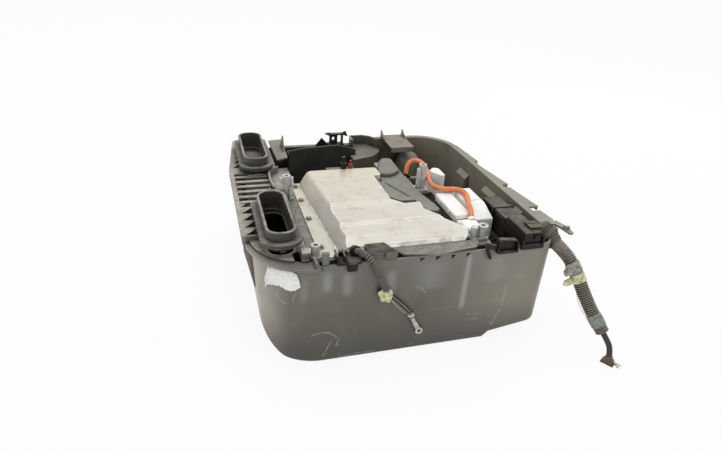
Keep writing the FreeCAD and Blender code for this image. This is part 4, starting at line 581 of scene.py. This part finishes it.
def route_curve(name, routes, radius=0.0):
    """Smooth cable lines: a NURBS spline of order 3 for each route, with its points as control points."""
    data = bpy.data.curves.new(name, "CURVE")
    data.dimensions = "3D"
    data.resolution_u = 16
    for route in routes:
        spline = data.splines.new("NURBS")
        spline.points.add(len(route) - 1)
        spline.points.foreach_set("co", np.hstack([np.array(route), np.ones((len(route), 1))]).ravel())
        spline.order_u = 3
        spline.use_endpoint_u = True
    data.bevel_depth = radius
    # Strands are too thin to need a round section
    data.bevel_resolution = 8 if radius > 0.002 else 2
    data.use_fill_caps = radius > 0.0
    return data


def show_cables(name, routes, radius, material, stands_for):
    """Shows round cables or strands along their routes, as one piece."""
    return show(name, route_curve(name, routes, radius), material, stands_for)


def route_points(route):
    """Points along a route's smooth line, read from its spline."""
    data = route_curve("route_line", [route])
    holder = bpy.data.objects.new("route_line", data)
    mesh = bpy.data.meshes.new_from_object(holder)
    points = np.empty(len(mesh.vertices) * 3)
    mesh.vertices.foreach_get("co", points)
    bpy.data.objects.remove(holder)
    bpy.data.curves.remove(data)
    bpy.data.meshes.remove(mesh)
    return points.reshape(-1, 3)


def resample(points, count):
    """Points at even steps along a line, and how far along each one is."""
    steps = np.linalg.norm(np.diff(points, axis=0), axis=1)
    along = np.concatenate([[0.0], np.cumsum(steps)])
    places = np.linspace(0.0, along[-1], count)
    return np.stack([np.interp(places, along, points[:, i]) for i in range(3)], axis=1), places


def tube_frames(points, side):
    """Two directions square to the line at each point: the first is also square to a fixed side."""
    tangent = np.gradient(points, axis=0)
    tangent /= np.linalg.norm(tangent, axis=1, keepdims=True)
    across = np.cross(tangent, np.array(side))
    across /= np.linalg.norm(across, axis=1, keepdims=True)
    return across, np.cross(tangent, across)


def tube_grid(points, radii, columns, side):
    """Tube surface: point plus radius times the cosine and sine of the angle round the line."""
    across, other = tube_frames(points, side)
    angle = np.linspace(0.0, 2 * math.pi, columns, endpoint=False)
    cosine, sine = np.cos(angle)[None, :, None], np.sin(angle)[None, :, None]
    circle = cosine * across[:, None, :] + sine * other[:, None, :]
    return points[:, None, :] + radii[..., None] * circle


def corrugated(route, radius, pitch, side, depth, smooth_share, columns):
    """Corrugated conduit: the radius falls into a flat-topped groove at every pitch, less near its start."""
    line = route_points(route)
    length = np.linalg.norm(np.diff(line, axis=0), axis=1).sum()
    points, places = resample(line, int(length / pitch) * 10 + 1)
    wave = 0.5 - 0.5 * np.cos(2 * math.pi * places / pitch)
    groove = np.clip(wave * 1.9 - 0.55, 0.0, 1.0)
    groove *= np.clip(places / length / max(smooth_share, 0.001), 0.35, 1.0)
    radii = radius - depth * groove
    grid = tube_grid(points, np.repeat(radii[:, None], columns, axis=1), columns, side)
    return grid, points, groove


def ripples(u, v, seed, count=6, top=7):
    """Smooth unevenness from -1 to 1: the mean of seeded sines, each over a sum of both parameters."""
    chance = np.random.default_rng(seed)
    total = np.zeros(np.broadcast(u, v).shape)
    for _ in range(count):
        a, b = chance.integers(1, top, 2)
        total = total + np.sin(2 * math.pi * (a * u + chance.random()) + 2 * math.pi * b * v)
    return total / count


def tape_wrap(route, radius, side, first, last, seed, thick=0.0020):
    """Hand-wrapped tape over a share of the route.

    The radius grows by four spiral laps and seeded unevenness, which taper off at ends that wander.
    """
    steps, rows, columns = 399, 70, 44
    line, _ = resample(route_points(route), steps + 1)
    points, _ = resample(line[int(first * steps):int(last * steps) + 1], rows)
    u = np.linspace(0.0, 1.0, rows)[:, None]
    v = np.linspace(0.0, 1.0, columns, endpoint=False)[None, :]
    laps = np.mod(u * 4.0 + v + 0.08 * ripples(u, v, seed + 50, 4, 3), 1.0)
    raised = thick * (0.30 + 0.40 * laps + 0.20 * ripples(u, v, seed) + 0.10 * ripples(u, v, seed + 9, 8, 16))
    wander = 0.03 * ripples(0.0 * u, v, seed + 5, 5, 5)
    ends = np.clip(14.0 * (np.minimum(u, 1.0 - u) + wander - 0.03), 0.02, 1.0)
    return tube_grid(points, radius + np.clip(raised, 0.0002, None) * ends, columns, side)


def lump_grid(centre, half, seed, rough=0.30):
    """Lump of tape: a leaning ellipsoid whose radius swells and dents with seeded sines of both angles."""
    u = np.linspace(0.02, 0.98, 40)[:, None]
    v = np.linspace(0.0, 1.0, 56, endpoint=False)[None, :]
    swell = 1.0 + rough * ripples(u, v, seed, 6, 5) + 0.4 * rough * ripples(u, v, seed + 3, 8, 14)
    x = np.sin(math.pi * u) * np.cos(2 * math.pi * v) * half[0] * swell
    y = np.sin(math.pi * u) * np.sin(2 * math.pi * v) * half[1] * swell
    z = np.cos(math.pi * u) * half[2] * swell
    lean = math.radians(LUMP_LEAN)
    return np.stack([
        centre[0] + x * math.cos(lean) - z * math.sin(lean),
        centre[1] + y,
        centre[2] + z * math.cos(lean) + x * math.sin(lean)], axis=-1)


def label_grid(crumple):
    """Torn label: a sheet round the tub's corner arc, lifted off it by creases.

    The creases are seeded sines, folded sharp by their absolute value and flatter near the edges. Seeded
    noise makes the upper and lower edges jagged.
    """
    rows, columns = 150, 80
    angles = np.linspace(LABEL_TOP[0][0], LABEL_TOP[-1][0], rows)
    u = np.linspace(0.0, 1.0, rows)[:, None]
    v = np.linspace(0.0, 1.0, columns)[None, :]
    chance = np.random.default_rng(12)
    torn = np.convolve(chance.normal(0.0, 1.0, rows + 6), np.ones(3) / 3, "same")[3:-3] * 0.0011
    high = np.interp(angles, *np.array(LABEL_TOP).T) + torn
    low = np.interp(angles, *np.array(LABEL_BOTTOM).T) + np.roll(torn, 31)
    height = low[:, None] + (high - low)[:, None] * v
    crease = np.abs(ripples(u, v, 4, 7, 6)) ** 0.6 + 0.5 * np.abs(ripples(u, v, 17, 9, 13))
    edge = np.clip(np.minimum(v, 1.0 - v) * 9.0, 0.25, 1.0) * np.clip(np.minimum(u, 1.0 - u) * 9.0, 0.25, 1.0)
    turn = np.radians(angles)[:, None]
    wall = WALL_AT_RIM + WALL_LEAN * (TUB_HEIGHT - height) / TUB_HEIGHT
    reach = CORNER_RADIUS + LABEL_GAP + crumple * crease * edge
    return np.stack([
        wall + CORNER_RADIUS - reach * np.cos(turn),
        CORNER_MIDDLE_Y - reach * np.sin(turn),
        np.broadcast_to(height, reach.shape)], axis=-1)


class BatteryLook(bpy.types.PropertyGroup):
    """Colours and sizes that a user may change."""

    tub_colour: bpy.props.FloatVectorProperty(
        name="Tub colour", description="Moulded tub's plastic", subtype="COLOR", size=3,
        default=linear("#5d594e"), min=0.0, max=1.0)
    cover_colour: bpy.props.FloatVectorProperty(
        name="Cover colour", description="Stamped cover's metal", subtype="COLOR", size=3,
        default=linear("#d6d2c6"), min=0.0, max=1.0)
    cable_colour: bpy.props.FloatVectorProperty(
        name="High-voltage cable colour", description="Orange sheath", subtype="COLOR", size=3,
        default=linear("#dd7c48"), min=0.0, max=1.0)
    floor_colour: bpy.props.FloatVectorProperty(
        name="Floor colour", description="Pale floor under the battery", subtype="COLOR", size=3,
        default=linear("#f4f3f1"), min=0.0, max=1.0)
    harness_radius: bpy.props.FloatProperty(
        name="Harness radius", description="Outer radius of the large conduit", unit="LENGTH", default=0.012)
    harness_pitch: bpy.props.FloatProperty(
        name="Harness pitch", description="Distance between two corrugations", unit="LENGTH", default=0.0042)
    earth_radius: bpy.props.FloatProperty(
        name="Earth conduit radius", description="Outer radius of the small conduit", unit="LENGTH",
        default=0.0054)
    earth_pitch: bpy.props.FloatProperty(
        name="Earth conduit pitch", description="Distance between two corrugations", unit="LENGTH",
        default=0.0042)
    label_crumple: bpy.props.FloatProperty(
        name="Label crumple", description="Height of the label's creases", unit="LENGTH", default=0.0060)


class BATTERY_OT_tub(bpy.types.Operator):
    """Finishes the tub and the deck that is moulded like it"""

    bl_idname = "battery.tub"
    bl_label = "Tub and Deck"

    def execute(self, context):
        # Polypropylene, moulded: olive grey, semi-matt, with painted sheen, painted light and shade, scuffed,
        # dusty where it faces up
        dress(["tub", "corner_hook"], tub_plastic(context.scene.battery_look))
        # The same, with painted shade darkening its top
        dress(["front_bridge"], moulded_plastic(
            "bridge_moulded_polypropylene", "#615d53", "#6a665b", "#34322c", dust_strength=0.95))
        # The same, rougher on the deck, grey with dust on every slat, and with painted shade between the
        # slats
        dress(["duct_deck"], moulded_plastic(
            "deck_moulded_polypropylene", "#7d776d", "#8b857a", "#c1bbb0", dust_strength=0.95, round_mm=1.2,
            shade_reach_mm=22.0))
        # The same, olive and a little dusty on the brackets
        dress(["rear_left_bracket", "rear_bracket"], moulded_plastic(
            "bracket_moulded_polypropylene", "#6f6b5f", "#7b776b", "#a09b8f", dust_strength=0.6))
        # Polypropylene of the ducts: dark, with grey dust on the flanges, and painted shade that makes them
        # almost black inside
        dress(["front_duct_collar", "rear_duct_collar"], moulded_plastic(
            "collar_moulded_polypropylene", "#42403c", "#52504b", "#aaa59d", dust_strength=0.95,
            shade_reach_mm=34.0))
        # The front duct, seen only inside: painted shade, near black and with little shine
        dress(["front_air_duct"], moulded_plastic(
            "duct_moulded_polypropylene", "#0d0c0b", "#121110", "#191817", dust_strength=0.2, roughness=0.8,
            shine=0.1))
        # The duct with the deflector: pale with dust, which shows from outside
        dress(["rear_air_duct"], moulded_plastic(
            "deflector_moulded_polypropylene", "#e6e1d6", "#efebe2", "#f7f4ec", dust_strength=0.9,
            roughness=0.6, shade_reach_mm=2.0))
        # The exhaust duct: black, satin, dusty on top
        dress(["exhaust_duct"], moulded_plastic(
            "exhaust_moulded_polypropylene", "#2a2927", "#363432", "#7a766d"))
        return {"FINISHED"}


class BATTERY_OT_metal(bpy.types.Operator):
    """Finishes the tray, the posts, the screws and the cells' metal"""

    bl_idname = "battery.metal"
    bl_label = "Tray and Posts"

    def execute(self, context):
        # Die-cast aluminium: grey, slightly rough, paler on the machined posts
        dress(["battery_tray"], cast_aluminium("tray_cast_aluminium", "#8a867b", "#6f6c64", metallic=0.45))
        dress(["rear_left_post", "rear_right_post", "front_left_post", "front_right_post"],
              cast_aluminium("post_cast_aluminium", "#dadad6", "#b6b6b2", metallic=0.25))
        dress(["power_converter"], cast_aluminium(
            "converter_cast_aluminium", "#a4a6a5", "#8b8d8c", metallic=0.6))
        # Zinc-plated steel: slightly yellow, dull with age
        dress(["cover_screws"], small_part_finish(
            "screw_zinc_plated_steel", "#a9a697", "#7b776a", roughness=0.4, grain_mm=0.8, metallic=0.8))
        # Electrocoated steel sheet: satin black
        dress(["side_bracket"], small_part_finish(
            "shelf_coated_steel", "#2b2b2b", "#3a3a3a", roughness=0.45, grain_mm=2.0))
        # Copper sheet, stamped: bright
        dress(["busbars"], small_part_finish(
            "busbar_stamped_copper", "#b87a4a", "#9a6238", roughness=0.35, grain_mm=3.0, metallic=0.9))
        # Glass-fibre laminate under green solder mask: flat and glossy
        dress(["cell_monitor_board"], small_part_finish(
            "board_glass_laminate", "#24583a", "#2f6b47", roughness=0.4, grain_mm=1.2, patch_mm=5.0))
        # ABS of the sealed modules, moulded: dark blue-grey, satin
        dress(["cell_module_" + str(i) for i in range(1, 7)], moulded_plastic(
            "module_moulded_abs", "#3c4044", "#484c50", "#8a8a86", dust_strength=0.2, roughness=0.45))
        # Glass-filled nylon of their clamping plates, moulded: black, dull
        dress(["end_plates"], moulded_plastic(
            "end_plate_moulded_nylon", "#2b2b2b", "#363636", "#77746e", dust_strength=0.2, roughness=0.55))
        return {"FINISHED"}


class BATTERY_OT_cover(bpy.types.Operator):
    """Finishes the stamped cover"""

    bl_idname = "battery.cover"
    bl_label = "Cover"

    def execute(self, context):
        # Aluminium sheet, stamped: pale, dull, with brown stains, painted highlights on the folds, painted
        # shade and shallow dents
        dress(["battery_cover"], stamped_aluminium(context.scene.battery_look))
        return {"FINISHED"}


class BATTERY_OT_boxes(bpy.types.Operator):
    """Finishes the electronics, the white boxes and the black connectors"""

    bl_idname = "battery.boxes"
    bl_label = "Boxes and Connectors"

    def execute(self, context):
        # ABS of the electronics plate and lid, moulded: mid grey, flat, dusty
        dress(["electronics_cover"], moulded_plastic(
            "plate_moulded_abs", "#6f6e64", "#7c7b71", "#a09f94", roughness=0.55))
        dress(["electronics_lid"], moulded_plastic("lid_moulded_abs", "#66665d", "#737269", "#9b9a90"))
        # PBT of the relay and fuse boxes, moulded: warm white, satin
        dress(["relay_box", "fuse_box", "fuse_box_lid", "junction_box", "hv_plug"], small_part_finish(
            "box_moulded_pbt", "#ffffff", "#fbf7ec", roughness=0.42, grain_mm=1.2, patch_mm=25.0,
            relief_mm=0.04))
        # Nylon of the service cap, moulded: deep pink, slightly glossy
        dress(["service_cap"], small_part_finish(
            "cap_moulded_nylon", "#a02850", "#8c2045", roughness=0.3, grain_mm=1.5))
        # Nylon connectors, moulded: near black, dust on the tops
        dress(["control_box", "control_box_clips", "connector_block", "black_plug", "hv_socket", "rim_pocket",
               "rear_clip", "earth_clip"], moulded_plastic(
            "connector_moulded_nylon", "#13120f", "#1f1d19", "#857f70", dust_strength=0.65, roughness=0.42,
            round_mm=0.6, shine=0.25))
        # Small plugs of the same nylon: grey, and a red lock
        dress(["sense_connector"], small_part_finish(
            "connector_grey_nylon", "#75776f", "#62645d", roughness=0.5, grain_mm=1.5))
        dress(["red_plug"], small_part_finish(
            "lock_red_nylon", "#a8302a", "#8e2822", roughness=0.35, grain_mm=1.5))
        return {"FINISHED"}


class BATTERY_OT_cables(bpy.types.Operator):
    """Builds the conduits, the cables and what is wrapped on them"""

    bl_idname = "battery.cables"
    bl_label = "Cables"

    def execute(self, context):
        look = context.scene.battery_look
        # Cloth tape, woven: pale yellow, soiled by handling
        yellow = woven_tape("tape_yellow_cloth", "#e3e4ba", "#a9a87f")
        # PVC sheath, extruded: black, satin
        sheath = small_part_finish("wire_pvc_sheath", "#2a2826", "#3a3734", roughness=0.45, grain_mm=1.5)
        # Copper strands, drawn and bare: thin, dull brown and bent apart
        strand = small_part_finish(
            "strand_bare_copper", "#d8cdba", "#b5a48c", roughness=0.45, grain_mm=0.8, metallic=0.3)
        self.harness(look, yellow, sheath, strand)
        self.earth(look, yellow, sheath, strand)
        self.high_voltage(look)
        return {"FINISHED"}

    def harness(self, look, yellow, sheath, strand):
        """The large conduit with its wraps, and the cable that leaves it and ends in the torn boot."""
        # Polyethylene conduit, blown: painted shade in the grooves between ridges that handling and dust have
        # paled
        large = blown_conduit("harness_blown_polyethylene", "#6a6056", "#2f2c29", "#a3998c")
        grid, line, groove = corrugated(
            HARNESS_ROUTE, look.harness_radius, look.harness_pitch, HARNESS_SIDE,
            depth=0.0016, smooth_share=0.25, columns=44)
        harness = show_tube("harness_corrugated", grid, large, ["harness_conduit"], groove)
        # Tape: clear film that has crinkled, and grey-green cloth
        film = woven_tape("tape_crinkled_film", "#aaa69c", "#77726a", roughness=0.35)
        green = woven_tape("tape_green_cloth", "#949e92", "#6d716a")
        pieces = []
        for name, first, last, material, seed, node, slot in (
                ("harness_film_wrap", 0.24, 0.35, film, 3, "harness_tapes", "grey_tape"),
                ("harness_yellow_wrap", 0.36, 0.45, yellow, 8, "harness_yellow_tape", "yellow_tape"),
                ("harness_green_wrap", 0.80, 0.93, green, 4, "harness_tapes", "grey_tape")):
            grid = tape_wrap(HARNESS_ROUTE, look.harness_radius, HARNESS_SIDE, first, last, seed)
            pieces.append(show_tube(name, grid, material, [node]))
        # The wraps' loose ends, which stand off the conduit on its left
        for name, centre, half, material, seed, node, slot in (
                ("harness_film_end", (0.2790, -0.2880, 0.1525), (0.0115, 0.0060, 0.0100), film, 5,
                 "harness_tapes", "grey_tape"),
                ("harness_yellow_end", (0.2830, -0.2890, 0.1290), (0.0110, 0.0045, 0.0070), yellow, 2,
                 "harness_yellow_tape", "yellow_tape")):
            pieces.append(show_tube(name, lump_grid(centre, half, seed), material, [node]))
        tail = show_cables("tail_cable", [TAIL_ROUTE], 0.005, sheath, ["harness_tail"])
        # EPDM rubber, moulded: the grommet is dark olive and dusty, the torn boot brown
        dress(["cable_grommet"], moulded_plastic(
            "grommet_moulded_epdm", "#46433a", "#59554a", "#8a8577", roughness=0.7))
        dress(["torn_boot"], moulded_plastic(
            "boot_moulded_epdm", "#5b4836", "#6f5d4c", "#a0958a", roughness=0.7))
        frayed = show_cables(
            "boot_strands", self.splayed(), 0.00045, strand, ["frayed_strands"])
        pieces += [tail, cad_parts["torn_boot"], frayed]

    def splayed(self):
        """Routes of the bare strands: they leave the boot's mouth in a fan and curl up from the floor."""
        chance = np.random.default_rng(2)
        routes = [STRAY_STRAND]
        for spread in np.linspace(-FAN_HALF_WIDTH, FAN_HALF_WIDTH, FAN_STRANDS):
            turn = math.radians(FAN_HEADING + spread)
            away = np.array([math.cos(turn), math.sin(turn), 0.0])
            length = chance.uniform(0.009, 0.0150)
            curl = np.array([chance.uniform(-0.002, 0.002), chance.uniform(-0.001, 0.001), 0.0])
            start = np.array(BOOT_MOUTH) + np.array([0.0, 0.0, chance.uniform(-0.002, 0.003)])
            middle = start + away * length * 0.5 + np.array([0.0, 0.0, 0.0025])
            tip = start + away * length + curl
            tip[2] = chance.uniform(0.0012, 0.0100)
            routes.append([tuple(start), tuple(middle), tuple(tip)])
        return routes

    def earth(self, look, yellow, sheath, strand):
        """The small conduit with its lump of tape, and the earth lead with its terminal."""
        # Polyethylene conduit, blown: darker than the large one, with painted shade in its grooves, and less
        # dusty
        small = blown_conduit("earth_blown_polyethylene", "#5f5c53", "#1c1a18", "#8b877b")
        grid, line, groove = corrugated(
            EARTH_ROUTE, look.earth_radius, look.earth_pitch, EARTH_SIDE,
            depth=0.0013, smooth_share=0.0, columns=32)
        earth = show_tube("earth_corrugated", grid, small, ["earth_conduit"], groove)
        grid = lump_grid((-0.0515, -0.2675, 0.1325), (0.0112, 0.0072, 0.0135), seed=6, rough=0.26)
        lump = show_tube("earth_tape_lump", grid, yellow, ["earth_tape"])
        wire = show_cables(
            "earth_lead", [EARTH_WIRE_ROUTE], 0.0023, sheath, ["earth_wire"])
        loose = show_cables("lead_strands", LEAD_STRANDS, 0.00040, strand, ["earth_wire"])
        # Tinned copper, stamped: pale, brushed by handling
        tinned = small_part_finish(
            "terminal_tinned_copper", "#c9c6bd", "#a5a299", roughness=0.35, grain_mm=1.0, metallic=0.6)
        dress(["ring_terminal"], tinned)
        grid = lump_grid((0.0000, -0.2632, 0.0800), (0.0060, 0.0034, 0.0042), seed=11)
        wings = show_tube("terminal_wings", grid, tinned)

    def high_voltage(self, look):
        """The orange cable from its socket to its plug."""
        # Silicone sheath, extruded: orange, slightly waxy
        orange = small_part_finish(
            "cable_silicone_sheath", look.cable_colour, "#e8956a", roughness=0.4, grain_mm=2.0, patch_mm=12.0)
        power = show_cables(
            "high_voltage_cable", [HIGH_VOLTAGE_ROUTE], 0.005, orange, ["hv_cable"])


class BATTERY_OT_label(bpy.types.Operator):
    """Builds the torn blank label on the front left corner"""

    bl_idname = "battery.label"
    bl_label = "Torn Label"

    def execute(self, context):
        # Coated paper, torn: white, crumpled
        grid = label_grid(context.scene.battery_look.label_crumple)
        label = show("crumpled_label", grid_mesh("crumpled_label", grid),
                     crumpled_paper("label_coated_paper"), ["torn_label"])
        sheet = label.modifiers.new("paper_thickness", "SOLIDIFY")
        sheet.thickness = LABEL_THICKNESS
        return {"FINISHED"}


class BATTERY_OT_stage(bpy.types.Operator):
    """Builds the floor, the studio light and the photograph's camera"""

    bl_idname = "battery.stage"
    bl_label = "Stage"

    def execute(self, context):
        scene = context.scene
        self.floor(scene)
        self.light(scene)
        self.camera(scene)
        scene.view_settings.view_transform = "Standard"
        return {"FINISHED"}

    def floor(self, scene):
        """One large square. Its paint catches the shadow, and it shows almost white to the camera."""
        # White paint, rolled: matt
        material, tree, _ = new_material("floor_white_paint")
        shown = background_share(tree)
        shown = add(tree, "Math", {0: shown, 1: FLOOR_GLOW}, operation="MULTIPLY")
        colour = rgba(scene.battery_look.floor_colour)
        paint = add(tree, "BsdfDiffuse", {"Color": colour})
        glow = add(tree, "Emission", {"Color": rgba("#ffffff"), "Strength": 1.0})
        mixed = add(tree, "MixShader", {0: shown, 1: paint, 2: glow})
        add(tree, "OutputMaterial", {"Surface": mixed})
        side = np.array([-1.0, 1.0]) * FLOOR_HALF
        corners = np.stack(np.meshgrid(side, side, indexing="ij"), axis=-1)
        mesh = grid_mesh("floor", np.concatenate([corners, np.zeros((2, 2, 1))], axis=-1))
        mesh.flip_normals()
        mesh.materials.append(material)
        floor = bpy.data.objects.new("floor", mesh)
        scene.collection.objects.link(floor)

    def light(self, scene):
        """An even white world that shows white to the camera, and two soft lamps."""
        world = bpy.data.worlds.new("studio")
        world.use_nodes = True
        tree = world.node_tree
        tree.nodes.clear()
        strength = add(tree, "MapRange", {
            "Value": background_share(tree), "To Min": WORLD_LIGHT, "To Max": 1.0})
        back = add(tree, "Background", {"Color": rgba("#ffffff"), "Strength": strength})
        add(tree, "OutputWorld", {"Surface": back})
        scene.world = world
        for name, place, aim, size, power in LAMPS:
            data = bpy.data.lights.new(name, "AREA")
            data.shape = "DISK"
            data.size = size
            data.energy = power
            lamp = bpy.data.objects.new(name, data)
            lamp.location = place
            lamp.rotation_euler = (Vector(aim) - Vector(place)).to_track_quat("-Z", "Y").to_euler()
            scene.collection.objects.link(lamp)

    def camera(self, scene):
        """The photograph's viewing angle: heading from +Y to +X, dip below the horizon, then roll."""
        heading, dip, roll = (math.radians(a) for a in (CAMERA_HEADING, CAMERA_DIP, CAMERA_ROLL))
        ahead = math.cos(dip)
        forward = Vector((math.sin(heading) * ahead, math.cos(heading) * ahead, -math.sin(dip)))
        level = Vector((math.cos(heading), -math.sin(heading), 0.0))
        above = level.cross(forward)
        right = math.cos(roll) * level + math.sin(roll) * above
        up = math.cos(roll) * above - math.sin(roll) * level
        data = bpy.data.cameras.new("camera")
        data.lens = CAMERA_LENS
        camera = bpy.data.objects.new("camera", data)
        turn = Matrix((right, up, -forward)).transposed().to_4x4()
        camera.matrix_world = Matrix.Translation(CAMERA_PLACE) @ turn
        scene.collection.objects.link(camera)
        scene.camera = camera


OPERATORS = (
    BATTERY_OT_tub,
    BATTERY_OT_metal,
    BATTERY_OT_cover,
    BATTERY_OT_boxes,
    BATTERY_OT_cables,
    BATTERY_OT_label,
    BATTERY_OT_stage,
)


class BATTERY_PT_panel(bpy.types.Panel):
    """Sidebar panel with the battery's settings and its build steps"""

    bl_label = "Hybrid Car Battery"
    bl_idname = "BATTERY_PT_panel"
    bl_space_type = "VIEW_3D"
    bl_region_type = "UI"
    bl_category = "Battery"

    def draw(self, context):
        look = context.scene.battery_look
        for name in BatteryLook.__annotations__:
            self.layout.prop(look, name)
        for operator in OPERATORS:
            self.layout.operator(operator.bl_idname)


CLASSES = (BatteryLook, *OPERATORS, BATTERY_PT_panel)


def register():
    for item in CLASSES:
        bpy.utils.register_class(item)
    bpy.types.Scene.battery_look = bpy.props.PointerProperty(type=BatteryLook)


def unregister():
    del bpy.types.Scene.battery_look
    for item in reversed(CLASSES):
        bpy.utils.unregister_class(item)


def main():
    """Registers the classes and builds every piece."""
    register()
    for operator in OPERATORS:
        group, action = operator.bl_idname.split(".")
        getattr(getattr(bpy.ops, group), action)()


if __name__ == "__main__":
    main()
